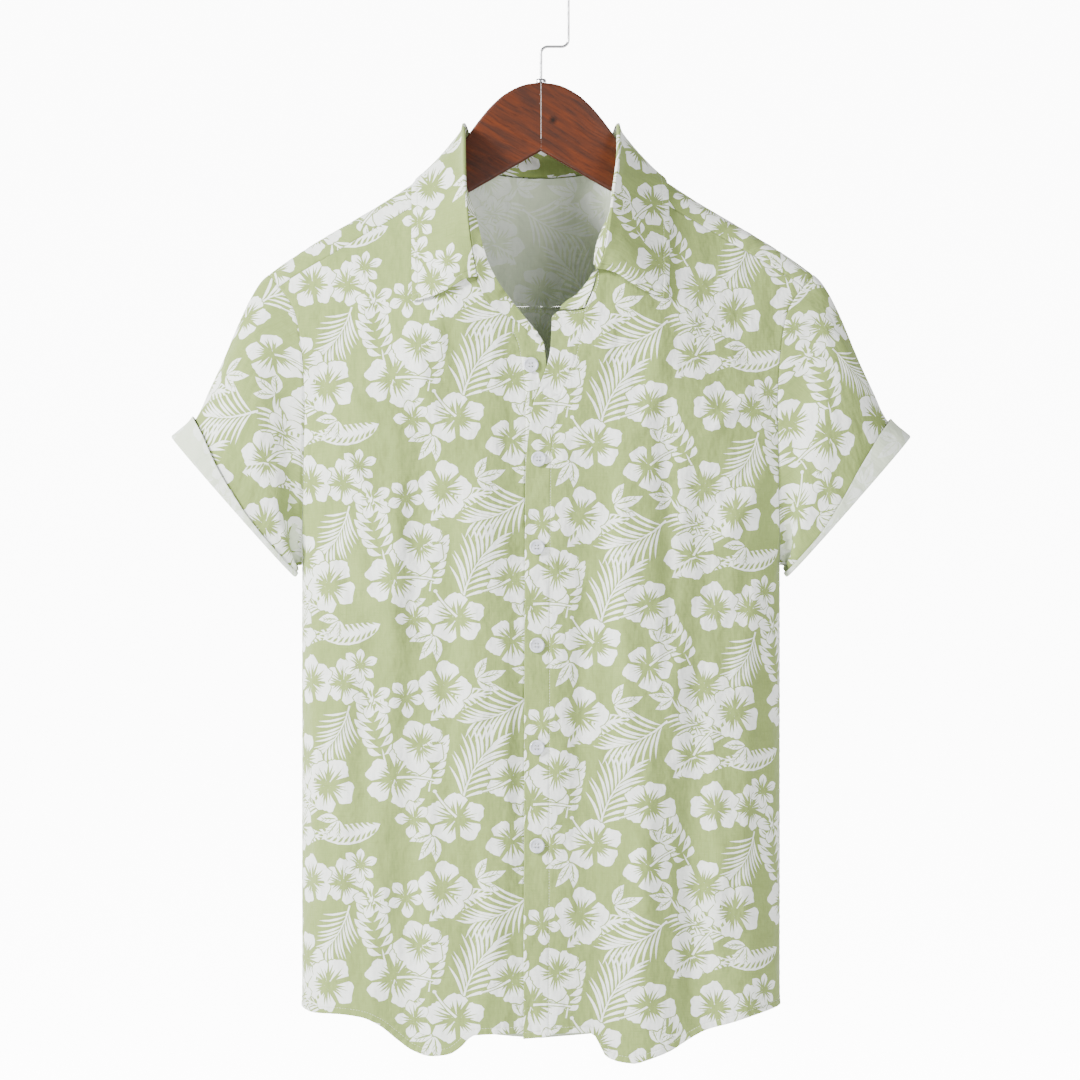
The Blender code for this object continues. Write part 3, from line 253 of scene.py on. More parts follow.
NECK_SIDE = rows_of(Collar, [
    (19, 1.0, -0.6, 21, -193.5, BACK, 17.6, 32, -244.4, BACK),
    (20, 1.0, -0.6, 42, -192.5, BACK, 16.2, 63, -244, BACK),
    (21, 1.0, -0.6, 59, -192.0, BACK, 14.2, 91, -243, BACK),
    (22, 1.0, -0.6, 69, -191.5, BACK, 12.2, 111, -239, BACK),
    (23, 1.0, -0.6, 73.2, -189.0, FRONT, 11.2, 120.5, -229.5, FRONT),
])
OVER_COLLAR = rows_of(Collar, [
    (24, 1.0, -0.6, 73, -203.0, FRONT, 11.8, 122, -237, FRONT),
    (25, 1.0, -0.6, 72.2, -217.0, FRONT, 12.2, 122.3, -247, FRONT),
    (26, 1.0, -0.6, 70, -234.0, FRONT, 12.2, 122.6, -260, FRONT),
    (27, 1.1, 0.0, 67.3, -251.0, FRONT, 12.0, 122.9, -276, FRONT),
    (28, 1.3, 0.3, 64.8, -268.0, FRONT, 11.3, 122.8, -293, FRONT),
    (29, 1.5, 0.6, 62.3, -284.5, FRONT, 10.2, 122.5, -311, FRONT),
    (30, 1.5, 0.6, 59.6, -299.0, FRONT, 8.8, 122.2, -328, FRONT),
    (31, 1.5, 0.6, 56.0, -311.0, FRONT, 6.6, 121.8, -340, FRONT),
    (31.5, 1.4, 0.2, 53.0, -316.5, FRONT, 4.8, 121.6, -345.3, FRONT),
    (32, 1.3, 0.0, 49.8, -319.0, FRONT, 2.4), (33, 1.1, -0.5, 42.5, -330.0, FRONT, -3.0),
    (34, 1.0, -0.6, 33.0, -341.0, FRONT, -7.0), (35, 1.0, -0.6, 26, -345.0, FRONT, -7.5),
    (36, 1.0, -0.6, 19.5, -351.0, FRONT, -6.0),
])
STAND_ROWS = 9
LEAF_FOLD_RADIUS = 1.6  # of the leaf's turn over the stand's top edge
LEAF_OFF_STAND = 0.8  # how far that turn stands off the stand's top edge
LEAF_ROWS = 14  # rows of points below the turn
LEAF_FIRST_SHARES = [0.07, 0.13]  # closer rows just below the turn
LEAF_TURN_POINTS = 6  # across the turn
LEAF_DROOP = 1.4  # how soon the leaf falls from its turn to its edge
LEAF_EDGE_LIFT = 3.0  # how far the leaf's edge lies off the body
LEAF_SWELL = 1.6  # roundness of the leaf between its turn and its edge

BUTTONS = rows_of(Point, [
    (-9.5, -407.1), (-2.2, -496.4), (-3.8, -580.0), (-3.8, -673.1), (-3.8, -770.0), (-3.8, -863.1),
])
UNDER_SINK = 2.9 + LAYER_GAP  # how far the under front lies behind the over front's face
SINK_FROM, SINK_TO = -54.0, -20.0

# One half of the hanger: its upper edge up to where it runs under the shoulder, and its
# lower edge
HANGER_TOP = rows_of(Point, [
    (0, -133.5), (12, -134.8), (20, -137.0), (35, -144.9), (47, -155.3), (57, -166.7),
    (64.6, -176.6), (72, -187.0), (80, -202.0), (88, -213.0), (100, -220.5),
])
HANGER_BOTTOM = rows_of(Point, [
    (0, -199.0), (67.5, -238.0), (130, -273.0), (180, -300.0), (212, -316.5),
    (HANGER_REACH, -321.0),
])


# ------------------------------------------------------------------ reading the tables
def curve_through(rows):
    """A function that reads the smooth curve through a table's rows, whose first column
    rises. It gives the other columns, and never overshoots a row."""
    table = np.array(rows, float)
    knots, values = table[:, 0], table[:, 1:]
    step = np.diff(knots)[:, None]
    slope = np.diff(values, axis=0) / step
    before, after = slope[:-1], slope[1:]
    same_way = before * after > 0
    total = np.where(same_way, before + after, 1.0)
    inner = np.where(same_way, 2 * before * after / total, 0.0)
    tangent = np.vstack([slope[:1], inner, slope[-1:]])

    def read(at):
        at = np.clip(np.asarray(at, float), knots[0], knots[-1])
        k = np.clip(np.searchsorted(knots, at, side="right") - 1, 0, len(step) - 1)
        length = step[k]
        share = (at - knots[k])[..., None] / length
        rise = values[k + 1] - values[k]
        first, last = length * tangent[k], length * tangent[k + 1]
        bend = 3 * rise - 2 * first - last
        twist = first + last - 2 * rise
        found = values[k] + share * (first + share * (bend + share * twist))
        return found[..., 0] if found.shape[-1] == 1 else found

    return read


def smooth_step(share):
    share = np.clip(share, 0.0, 1.0)
    return share * share * (3 - 2 * share)


def unit(vectors):
    return vectors / np.maximum(np.linalg.norm(vectors, axis=-1, keepdims=True), 1e-9)


ridge_at = curve_through(RIDGE)
span_at = curve_through(SPAN)
armhole_at = curve_through(ARMHOLE)
under_edge_at = curve_through(UNDER_EDGE)
over_edge_at = curve_through(OVER_EDGE)
under_hem_at = curve_through(UNDER_HEM)
over_hem_at = curve_through(OVER_HEM)
back_hem_at = curve_through(BACK_HEM)


# ------------------------------------------------------------------ the body's surface
def fold_height(x, z, side):
    down = np.clip((FOLD_TOP_Z - z) / (FOLD_TOP_Z - FOLD_END_Z), 0.0, 1.2)
    total = 0.0
    for fold in FRONT_FOLDS if side == FRONT else BACK_FOLDS:
        middle = fold.x_top + (fold.x_hem - fold.x_top) * down
        grown = smooth_step((fold.start_z - z) / FOLD_RUN_IN)
        total = total + fold.height * grown * np.exp(-(((x - middle) / fold.width) ** 2))
    return total


def body_y(x, z, side):
    """Where the cloth's outer face lies: rounded over the hanger, then standing off it."""
    x, z = np.broadcast_arrays(np.asarray(x, float), np.asarray(z, float))
    ridge = ridge_at(np.abs(x))
    drop = np.maximum(ridge[..., 0] - z, 0.0)
    turn = RIDGE_RADIUS * np.sqrt(1 - (1 - np.minimum(drop / RIDGE_RADIUS, 1)) ** 2)
    full = (FRONT_DEPTH if side == FRONT else BACK_DEPTH) - RIDGE_RADIUS
    settled = 1 - (1 - np.minimum(drop / ridge[..., 1], 1)) ** 2
    reach = np.minimum(np.abs(x) / span_at(z), 1.0)
    near_side = np.sqrt(1 - reach**8)
    rounding = (1 - reach**SQUARENESS) ** (1 / SQUARENESS)
    depth = (turn + fold_height(x, z, side)) * near_side + full * settled * rounding
    return side * depth


PROFILE_DROPS = 700.0 * np.linspace(0, 1, 260) ** 2
TABLE_STEP = 2.0
TABLE_XS = np.arange(-320, 321, TABLE_STEP)
TABLE_DOWNS = np.arange(-700, 701, 1.0)


def profile(x, side):
    """Down the cloth from the shoulder line at this x: distance along it, and its y and z."""
    z = ridge_at(abs(x))[0] - PROFILE_DROPS
    y = body_y(x, z, side)
    steps = np.hypot(np.diff(y), np.diff(z))
    return np.concatenate([[0.0], np.cumsum(steps)]), y, z


def cloth_table():
    """The cloth's y and z for each x and each signed distance down from the shoulder line."""
    table = np.zeros((len(TABLE_XS), len(TABLE_DOWNS), 2))
    for row, x in zip(table, TABLE_XS):
        for side, mine in ((FRONT, TABLE_DOWNS < 0), (BACK, TABLE_DOWNS >= 0)):
            along, y, z = profile(x, side)
            far = np.abs(TABLE_DOWNS[mine])
            row[mine] = np.stack([np.interp(far, along, y), np.interp(far, along, z)], axis=-1)
    return table


def bilinear(table, rows, columns):
    """Values of a table between its rows and columns, and its slopes along both."""
    rows = np.clip(rows, 0, table.shape[0] - 1.000001)
    columns = np.clip(columns, 0, table.shape[1] - 1.000001)
    i, j = rows.astype(int), columns.astype(int)
    a, b = (rows - i)[..., None], (columns - j)[..., None]
    near, far = table[i, j], table[i + 1, j + 1]
    down, right = table[i + 1, j], table[i, j + 1]
    value = (near * (1 - a) + down * a) * (1 - b) + (right * (1 - a) + far * a) * b
    along_rows = (down - near) * (1 - b) + (far - right) * b
    along_columns = (right - near) * (1 - a) + (far - down) * a
    return value, along_rows, along_columns


CLOTH_TABLE = cloth_table()


def down_cloth(x, z, side):
    """Signed distance along the cloth from the shoulder line to height z."""
    along, _, heights = profile(x, side)
    return side * np.interp(-z, -heights, along)


def on_cloth(x, down, lift=0.0):
    """The points this far down the cloth, to the front where negative, lifted off its face."""
    x, down, lift = np.broadcast_arrays(*(np.asarray(v, float) for v in (x, down, lift)))
    rows, columns = (x - TABLE_XS[0]) / TABLE_STEP, down - TABLE_DOWNS[0]
    here = bilinear(CLOTH_TABLE, rows, columns)[0]
    before = bilinear(CLOTH_TABLE, rows, columns - 1.0)[0]
    after = bilinear(CLOTH_TABLE, rows, columns + 1.0)[0]
    slope = after - before
    face = unit(np.stack([-slope[..., 1], slope[..., 0]], axis=-1))
    here = here + face * lift[..., None]
    return np.stack([x, here[..., 0], here[..., 1]], axis=-1)


def across_at(z, x_from, x_to, share, side):
    """The x that lies this share of the cloth's width from one edge to the other."""
    xs = span_at(z) * np.sin(np.linspace(-np.pi / 2, np.pi / 2, 181))
    along = np.concatenate([[0.0], np.cumsum(np.hypot(np.diff(xs), np.diff(body_y(xs, z, side))))])
    start, end = np.interp([x_from, x_to], xs, along)
    return np.interp(start + (end - start) * share, along, xs)


def rows_down(top_z, hem_z):
    """Heights of a column's points, with one at the underarm."""
    upper = np.linspace(top_z, UNDERARM_Z, ARM_ROWS + 1)
    lower = np.linspace(UNDERARM_Z, hem_z, SIDE_ROWS + 1)
    return np.concatenate([upper, lower[1:]])


def refine(rows, corners=()):
    """FINE steps between each two rows of a table, with nothing smoothed across its corners."""
    rows = np.array(rows, float)
    stops = [0, *corners, len(rows) - 1]
    found = []
    for first, last in zip(stops, stops[1:]):
        read = curve_through(np.column_stack([np.arange(first, last + 1), rows[first : last + 1]]))
        values = read(np.linspace(first, last, (last - first) * FINE + 1))
        found.append(values[1:] if found else values)
    values = np.vstack(found)
    return np.linspace(0, len(rows) - 1, len(values)), values


def face_normals(grid):
    return unit(np.cross(np.gradient(grid, axis=1), np.gradient(grid, axis=0)))


def outward(grid, inside):
    """The grid's normals, turned away from a point inside."""
    normals = face_normals(grid)
    away = np.sum(normals * (grid - np.array(inside, float)))
    return normals if away > 0 else -normals


# ------------------------------------------------------------------ panels of the shirt
# A panel is a grid of points on the outer face, their normals, and where each point lies on
# the flat piece of cloth before it was sewn
Panel = namedtuple("Panel", "face normals flat")


ACROSS_STEP, ACROSS_DROP = 2.0, 5.0  # of the table of distances across the cloth
ACROSS_XS = np.arange(-300, 301, ACROSS_STEP)
ACROSS_ZS = np.arange(-1100, -140, ACROSS_DROP)


def across_table(side):
    """Distances across the cloth from the middle, for each height."""
    y = body_y(ACROSS_XS[None, :], ACROSS_ZS[:, None], side)
    along = np.cumsum(np.hypot(np.diff(ACROSS_XS)[None, :], np.diff(y, axis=1)), axis=1)
    along = np.column_stack([np.zeros(len(ACROSS_ZS)), along])
    middle = len(ACROSS_XS) // 2
    return along - along[:, middle : middle + 1]


def body_flat(grid, side):
    """The body's cloth laid flat: distances across it, and heights."""
    rows = (grid[..., 2] - ACROSS_ZS[0]) / ACROSS_DROP
    columns = (grid[..., 0] - ACROSS_XS[0]) / ACROSS_STEP
    across = bilinear(across_table(side)[..., None], rows, columns)[0][..., 0]
    return np.stack([-side * across, grid[..., 2]], axis=-1)


def front_grid(hand, neck, facing_neck, edge_at, hem_at, sink):
    """Columns of points from the armhole to the front edge. The last ones share the
    turned-in strip's width."""
    seam = [(hand * row.x, row.z - SEAM_GAP) for row in YOKE_EDGE[:SEAM_COLUMNS]]
    numbers, tops = refine(seam + list(neck), [SEAM_COLUMNS - 1])
    grid = []
    for number, (top_x, top_z) in zip(numbers, tops):
        arm, inner = hand * armhole_at(top_z), sum(edge_at(top_z))
        share_at_top = (top_x - arm) / (inner - arm)
        xs = []
        for z in rows_down(top_z, FRONT_HEM_Z):
            arm, inner = hand * armhole_at(z), sum(edge_at(z))
            even = across_at(z, arm, inner, number / numbers[-1], FRONT)
            spread = smooth_step((top_z - z) / (top_z - SPREAD_Z))
            bunched = arm + (inner - arm) * share_at_top
            xs.append(bunched + (even - bunched) * spread)
        grid.append((np.array(xs), top_z))
    numbers, tops = refine([neck[-1]] + list(facing_neck))
    for number, (top_x, top_z) in list(zip(numbers, tops))[1:]:
        heights = rows_down(top_z, FRONT_HEM_Z)
        edges = np.array([edge_at(z) for z in heights])
        xs = edges[:, 0] + edges[:, 1] * (1 - number / numbers[-1])
        xs += (top_x - xs[0]) * (1 - smooth_step((top_z - heights) / NECK_BLEND))
        grid.append((xs, top_z))
    grid = [
        np.stack([xs, xs * 0, rows_down(top_z, hem_at(xs[-1]))], axis=-1) for xs, top_z in grid
    ]
    grid = np.array(grid).transpose(1, 0, 2)
    grid[..., 1] = body_y(grid[..., 0], grid[..., 2], FRONT) + sink(grid[..., 0])
    grid[ARM_ROWS:, 0, 1] = -SEAM_GAP
    return Panel(grid, panel_normals(grid, 0), body_flat(grid, FRONT))


def panel_normals(grid, *side_columns):
    """Normals of a panel's face, level along its side seams."""
    normals = outward(grid, TORSO_INSIDE)
    for column in side_columns:
        normals[ARM_ROWS:, column] = (np.sign(grid[-1, column, 0]), 0.0, 0.0)
    return normals


def under_sink(xs):
    return UNDER_SINK * smooth_step((xs - SINK_FROM) / (SINK_TO - SINK_FROM))


def back_grid():
    """Columns of points from one side seam to the other, below the yoke."""
    rows = []
    zs = rows_down(YOKE_SEAM_Z - SEAM_GAP, FRONT_HEM_Z)
    shares = np.linspace(0, 1, BACK_COLUMNS + 1)
    for z in zs:
        edge = armhole_at(z)
        xs = across_at(z, -edge, edge, shares, BACK)
        rows.append(np.stack([xs, np.zeros_like(xs), np.full_like(xs, z)], axis=-1))
    grid = np.array(rows)
    for column in range(grid.shape[1]):
        grid[:, column, 2] = rows_down(zs[0], back_hem_at(abs(grid[-1, column, 0])))
    grid[..., 1] = body_y(grid[..., 0], grid[..., 2], BACK)
    grid[ARM_ROWS:, [0, -1], 1] = SEAM_GAP
    return Panel(grid, panel_normals(grid, 0, -1), body_flat(grid, BACK))


def yoke_grid():
    """Columns of points from the front seam or the neck, over the hanger, to the back seam."""
    mirrored = [
        row._replace(x=-row.x, ridge_x=-row.ridge_x, back_x=-row.back_x) for row in YOKE_EDGE
    ]
    columns = []
    for row in mirrored + YOKE_EDGE[-2::-1]:
        start = down_cloth(row.x, row.z + SEAM_GAP * (row.side == FRONT), row.side)
        end = down_cloth(row.back_x, YOKE_SEAM_Z, BACK)
        least, most = YOKE_TURN_LIMITS
        turn = np.clip(abs(start) / (end - start), least, 1 if row.side == FRONT else most)
        steps = np.concatenate([turn * YOKE_TO_TURN, turn + (1 - turn) * YOKE_PAST_TURN])
        if row.side == FRONT:
            xs = curve_through([(0, row.x), (turn, row.ridge_x), (1, row.back_x)])(steps)
        else:
            xs = row.x + (row.back_x - row.x) * steps
        columns.append(np.stack([xs, start + (end - start) * steps], axis=-1))
    places = np.array(columns)
    for corners in ((SEAM_COLUMNS - 1, len(columns) - SEAM_COLUMNS), ()):
        first, second, _ = places.shape
        _, finer = refine(places.reshape(first, -1), corners)
        places = finer.reshape(-1, second, 2).transpose(1, 0, 2)
    places = places.transpose(1, 0, 2)
    face = on_cloth(places[..., 0], places[..., 1])
    return Panel(face, outward(face, TORSO_INSIDE), yoke_flat(places))


def yoke_flat(places):
    """The yoke laid flat, unfolded along the shoulder line."""
    x, down = places[..., 0], places[..., 1]
    ridge = ridge_at(np.abs(x))[..., 0]
    inner, outer = RIDGE[4], RIDGE[10]
    slope = math.atan2(inner.z - outer.z, outer.x - inner.x)
    ahead = np.maximum(-down, 0)
    across = x + np.sign(x) * ahead * math.sin(2 * slope)
    up = ridge - np.maximum(down, 0) + ahead * math.cos(2 * slope)
    return np.stack([-across, up], axis=-1)


# ------------------------------------------------------------------ sleeves and cuffs
def armhole_ring(hand, yoke, front, back):
    """Points round the armhole, from the underarm up the back, over the shoulder and down the
    front to the underarm again, with the panels' normals and the way to run on from there."""
    edge, inner = (0, 1) if hand == RIGHT else (-1, -2)
    places, normals, away = [], [], []
    for panel, column, beside, rows in (
        (back, edge, inner, range(ARM_ROWS - 1, -1, -1)),
        (yoke, edge, inner, range(len(yoke.face) - 2, 0, -1)),
        (front, 0, 1, range(0, ARM_ROWS + 1)),
    ):
        for row in rows:
            places.append(panel.face[row, column])
            normals.append(panel.normals[row, column])
            away.append(unit(panel.face[row, column] - panel.face[row, beside]))
    ends = places[-1], normals[-1], away[-1]
    places, normals, away = ([end] + part for end, part in zip(ends, (places, normals, away)))
    places, normals, away = np.array(places), np.array(normals), np.array(away)
    turn_from, turn_to = SLEEVE_TURN_Z
    sideways = smooth_step((places[:, 2:] - turn_from) / (turn_to - turn_from))
    run = unit(away * (1 - sideways) + np.array([hand, 0.0, 0.0]) * sideways)
    return places + run * SEAM_GAP, normals, run, sideways


RING_TOP = ARM_ROWS + (len(YOKE_TO_TURN) + len(YOKE_PAST_TURN) - 1) * FINE - YOKE_TURN


def round_shares(ring):
    """How far round each point of an armhole ring lies, from the top to the underarm, and on
    which side."""
    steps = np.linalg.norm(np.diff(ring, axis=0), axis=1)
    back = np.cumsum(steps[:RING_TOP][::-1])[::-1] / steps[:RING_TOP].sum()
    front = np.cumsum(steps[RING_TOP:]) / steps[RING_TOP:].sum()
    sides = np.array([BACK] * RING_TOP + [FRONT] * (len(ring) - RING_TOP))
    return np.concatenate([back, [0.0], front]), sides


def sleeve_grid(hand, ring, run):
    shares, sides = round_shares(ring)
    angle = np.pi * np.minimum(shares, 1)
    bulge = np.abs(np.sin(angle))
    down = (1 - np.cos(angle)) / 2
    rings_at = curve_through(SLEEVE)
    rows = []
    for along in np.linspace(0, 1, SLEEVE_ROWS + 1):
        top_x, top_z, low_x, low_z, half_depth = rings_at(along)
        off_fold = (along - ARMPIT_FOLD.along) / ARMPIT_FOLD.width
        fold = ARMPIT_FOLD.height * np.exp(-(off_fold**2))
        depth = half_depth * bulge**0.8 + fold * bulge**2
        xs, zs = top_x + (low_x - top_x) * down, top_z + (low_z - top_z) * down
        lens = np.stack([hand * xs, sides * depth, zs], axis=-1)
        blend = smooth_step(along / SLEEVE_BLEND)
        rows.append((ring + run * SLEEVE_LENGTH * along) * (1 - blend) + lens * blend)
    return np.array(rows)


def cuff_grid(sleeve, normals, shares, hand):
    """A band that turns up round the sleeve's end and lies on it up to its free edge."""
    widths = curve_through(CUFF_WIDTH)((1 - np.cos(np.pi * shares)) / 2)
    widths = widths[:, 0] if hand == LEFT else widths[:, 1]
    out, within = LAYER_GAP + CUFF, CAD_CLOTH + CAD_SEAM_GAP
    radius, middle = (out + within) / 2, (out - within) / 2
    columns = []
    for line, faces, width in zip(
        sleeve[::-1].transpose(1, 0, 2), normals[::-1].transpose(1, 0, 2), widths
    ):
        along = np.concatenate([[0.0], np.cumsum(np.linalg.norm(np.diff(line, axis=0), axis=1))])

        def lifted(distance, lift):
            here = np.array([np.interp(distance, along, line[:, axis]) for axis in range(3)])
            face = np.array([np.interp(distance, along, faces[:, axis]) for axis in range(3)])
            return here + unit(face) * lift

        column = []
        for step in np.linspace(1, 0, CUFF_STEPS + 1):
            flare = CUFF_FLARE * step * width / CUFF_WIDTH[0].left
            column.append(lifted(width * step, out + flare))
        ahead = unit(line[0] - line[1])
        for turn in CUFF_TURN:
            here = lifted(0, middle + radius * math.cos(turn))
            column.append(here + ahead * radius * math.sin(turn))
        for step in (0.5, 1.0):
            column.append(lifted(min(CUFF_TUCK, width) * step, -within))
        columns.append(column)
    return np.array(columns).transpose(1, 0, 2)


# ------------------------------------------------------------------ collar
def neckline(under, over, yoke):
    """The neck edge from the under front's end, round the back, to the over front's end:
    places on it, the way out of the cloth there and the cloth's normals."""
    corner = (SEAM_COLUMNS - 1) * FINE
    places, away, normals = [], [], []
    for panel, columns in (
        (under, range(under.face.shape[1] - 1, corner, -1)),
        (yoke, range(corner, yoke.face.shape[1] - corner)),
        (over, range(corner + 1, over.face.shape[1])),
    ):
        for column in columns:
            places.append(panel.face[0, column])
            away.append(panel.face[0, column] - panel.face[1, column])
            normals.append(panel.normals[0, column])
    places, away, normals = np.array(places), np.array(away), np.array(normals)
    tangents = unit(np.gradient(places, axis=0))
    away = unit(away - tangents * np.sum(away * tangents, axis=1, keepdims=True))
    return places, away, normals


def collar_table():
    def mirrored(row):
        station = 2 * NECK_BACK.station - row.station
        return row._replace(station=station, roll_x=-row.roll_x, edge_x=-row.edge_x)

    table = UNDER_COLLAR + [mirrored(row) for row in NECK_SIDE[::-1]]
    table += [NECK_BACK] + NECK_SIDE + OVER_COLLAR
    rows = []
    for row in table:
        has_leaf = row.edge_side != 0
        roll_down = down_cloth(row.roll_x, row.roll_z, row.roll_side)
        edge_down = down_cloth(row.edge_x, row.edge_z, row.edge_side) if has_leaf else roll_down
        rows.append((
            row.station, row.out, row.lift, row.roll_x, roll_down, row.roll_lift,
            row.edge_x if has_leaf else row.roll_x, edge_down,
        ))
    leaf = [row.station for row in table if row.edge_side != 0]
    return np.array(rows, float), leaf[0], leaf[-1]


def collar_grids(under, over, yoke):
    """The stand's neck side, from its seam to its top, and the leaf's outer face, which turns
    over the stand's top and comes down to its edge."""
    table, leaf_from, leaf_to = collar_table()
    read = curve_through(table)
    neck = neckline(under, over, yoke)
    knots = np.arange(len(neck[0])) / FINE
    last = OVER_COLLAR[-1].station
    stations = sorted(set(np.linspace(0, last, last * 4 + 1)) | {leaf_to})
    stand = []
    for station in stations:
        place, away, normal = (
            np.array([np.interp(station, knots, part[:, axis]) for axis in range(3)])
            for part in neck
        )
        out, lift, roll_x, roll_down, roll_lift, _, _ = read(station)
        seam = place + unit(away) * out + unit(normal) * lift
        roll = on_cloth(roll_x, roll_down, roll_lift)
        stand.append([seam + (roll - seam) * t for t in np.linspace(0, 1, STAND_ROWS)])
    stand = np.array(stand).transpose(1, 0, 2)
    inward = face_normals(stand)
    if inward[0, stations.index(NECK_BACK.station), 1] > 0:
        inward = -inward

    leaf = []
    for number, station in enumerate(stations):
        if not leaf_from <= station <= leaf_to:
            continue
        _, _, roll_x, roll_down, roll_lift, edge_x, edge_down = read(station)
        shares = np.concatenate([LEAF_FIRST_SHARES, np.linspace(0.2, 1, LEAF_ROWS)])
        fall_from = roll_lift + CAD_CLOTH - LEAF_EDGE_LIFT
        lift = LEAF_EDGE_LIFT + fall_from * (1 - shares) ** LEAF_DROOP
        lift += LEAF_SWELL * np.sin(np.pi * shares)
        xs = roll_x + (edge_x - roll_x) * shares
        fall = on_cloth(xs, roll_down + (edge_down - roll_down) * shares, lift)
        roll, side = stand[-1, number], inward[-1, number]
        up = unit(roll - stand[0, number])
        centre = roll + up * LEAF_OFF_STAND - side * LEAF_FOLD_RADIUS
        way = fall[2] - roll
        turn = max(math.atan2(-np.dot(way, side), np.dot(way, up)), 0.0)
        angles = [turn * t for t in np.linspace(0, 1, LEAF_TURN_POINTS)]
        spokes = [side * math.cos(angle) + up * math.sin(angle) for angle in angles]
        spokes = [centre + spoke * (LEAF_FOLD_RADIUS + CAD_CLOTH / 2) for spoke in spokes]
        leaf.append(np.vstack([spokes, fall]))
    leaf = np.array(leaf).transpose(1, 0, 2)
    return stand + inward * CAD_CLOTH / 2, inward, leaf, outward(leaf, COLLAR_INSIDE)


def strip_flat(grid):
    """A strip between its first and last rows, laid flat quad by quad."""
    first, last = grid[0], grid[-1]

    def third(a, b, from_a, from_b, side):
        base = abs(b - a)
        ahead = (from_a**2 - from_b**2 + base**2) / (2 * base)
        aside = math.sqrt(max(from_a**2 - ahead**2, 0.0))
        return a + (b - a) / base * (ahead + side * 1j * aside)

    def length(p, q):
        return float(np.linalg.norm(p - q))

    middle = grid.shape[1] // 2
    tops, lows = {middle: 0j}, {middle: -1j * length(first[middle], last[middle])}
    for way in (1, -1):
        k = middle
        while 0 <= k + way < grid.shape[1]:
            n = k + way
            tops[n] = third(
                tops[k], lows[k], length(first[k], first[n]), length(last[k], first[n]), way
            )
            lows[n] = third(
                tops[n], lows[k], length(first[n], last[n]), length(last[k], last[n]), way
            )
            k = n
    top = np.array([tops[k] for k in range(grid.shape[1])])
    low = np.array([lows[k] for k in range(grid.shape[1])])
    steps = np.linalg.norm(np.diff(grid, axis=0), axis=2)
    along = np.vstack([np.zeros(grid.shape[1]), np.cumsum(steps, axis=0)])
    shares = along / along[-1]
    flat = top + (low - top) * shares
    return np.stack([flat.real, flat.imag], axis=-1)


# ------------------------------------------------------------------ print
Shape = namedtuple("Shape", "white outline")


def tidy(points):
    """The outline without points that repeat the one before."""
    points = np.asarray(points, complex)
    return points[np.abs(points - np.roll(points, 1)) > 0.02]


def bowed(start, end, bend, count):
    """Points from start to end on a bow, which stands out to the left by this share."""
    t = np.linspace(0, 1, count)
    return start + (end - start) * (t + 4j * bend * t * (1 - t))


def stroke(path, widths):
    along = np.gradient(path)
    side = 0.5j * along / np.abs(along) * widths
    return tidy(np.concatenate([path + side, (path - side)[::-1]]))


def blade(start, end, width, bend=0.0, widest=0.4, count=7):
    """A pointed stroke, widest this share of the way along it."""
    t = np.linspace(0, 1, count)
    power = math.log(0.5) / math.log(widest)
    return stroke(bowed(start, end, bend, count), width * np.sin(np.pi * t**power))


def disc(centre, radius, count=9):
    return centre + radius * np.exp(2j * np.pi * np.arange(count) / count)


def between(at, shares, values):
    """Complex values between the ones that are known at these shares."""
    return np.interp(at, shares, values.real) + 1j * np.interp(at, shares, values.imag)


def grown(shapes, size):
    return [Shape(shape.white, size * shape.outline) for shape in shapes]


PETAL_POINTS = 15
PETAL_SIDE = [(0.60, 0.93), (0.42, 0.78), (0.26, 0.6), (0.15, 0.3)]  # how far out, how wide


def petal(half_angle, rng, pointed):
    """A petal along the real axis out to 1, with a ruffled or a pointed end."""
    spread = np.linspace(-1, 1, PETAL_POINTS)
    if pointed:
        reach = 0.66 + 0.34 * (1 - np.abs(spread)) ** 0.8
        swell = 0.9 * np.sign(spread) * np.abs(spread) ** 0.8
    else:
        ruffle = 0.045 * np.sin(5.2 * spread + rng.uniform(0, 6))
        reach = 1 - 0.20 * np.abs(spread) ** 3
        reach = reach * (1 + ruffle + rng.uniform(-0.03, 0.03, PETAL_POINTS))
        swell = spread
    end = reach * np.exp(1j * half_angle * swell)
    left = [r * np.exp(1j * half_angle * a * swell[-1]) for r, a in PETAL_SIDE]
    right = [r * np.exp(-1j * half_angle * a * swell[-1]) for r, a in PETAL_SIDE[::-1]]
    return np.concatenate([right, end, left])


def slit(off, length, turn, bend):
    """A dark stroke from a flower's heart out along one of its petals."""
    start = 0.10 * np.exp(1j * off * 1.5) * turn
    return blade(start, length * np.exp(1j * off * 0.9) * turn, 0.085, bend, 0.3, 6)


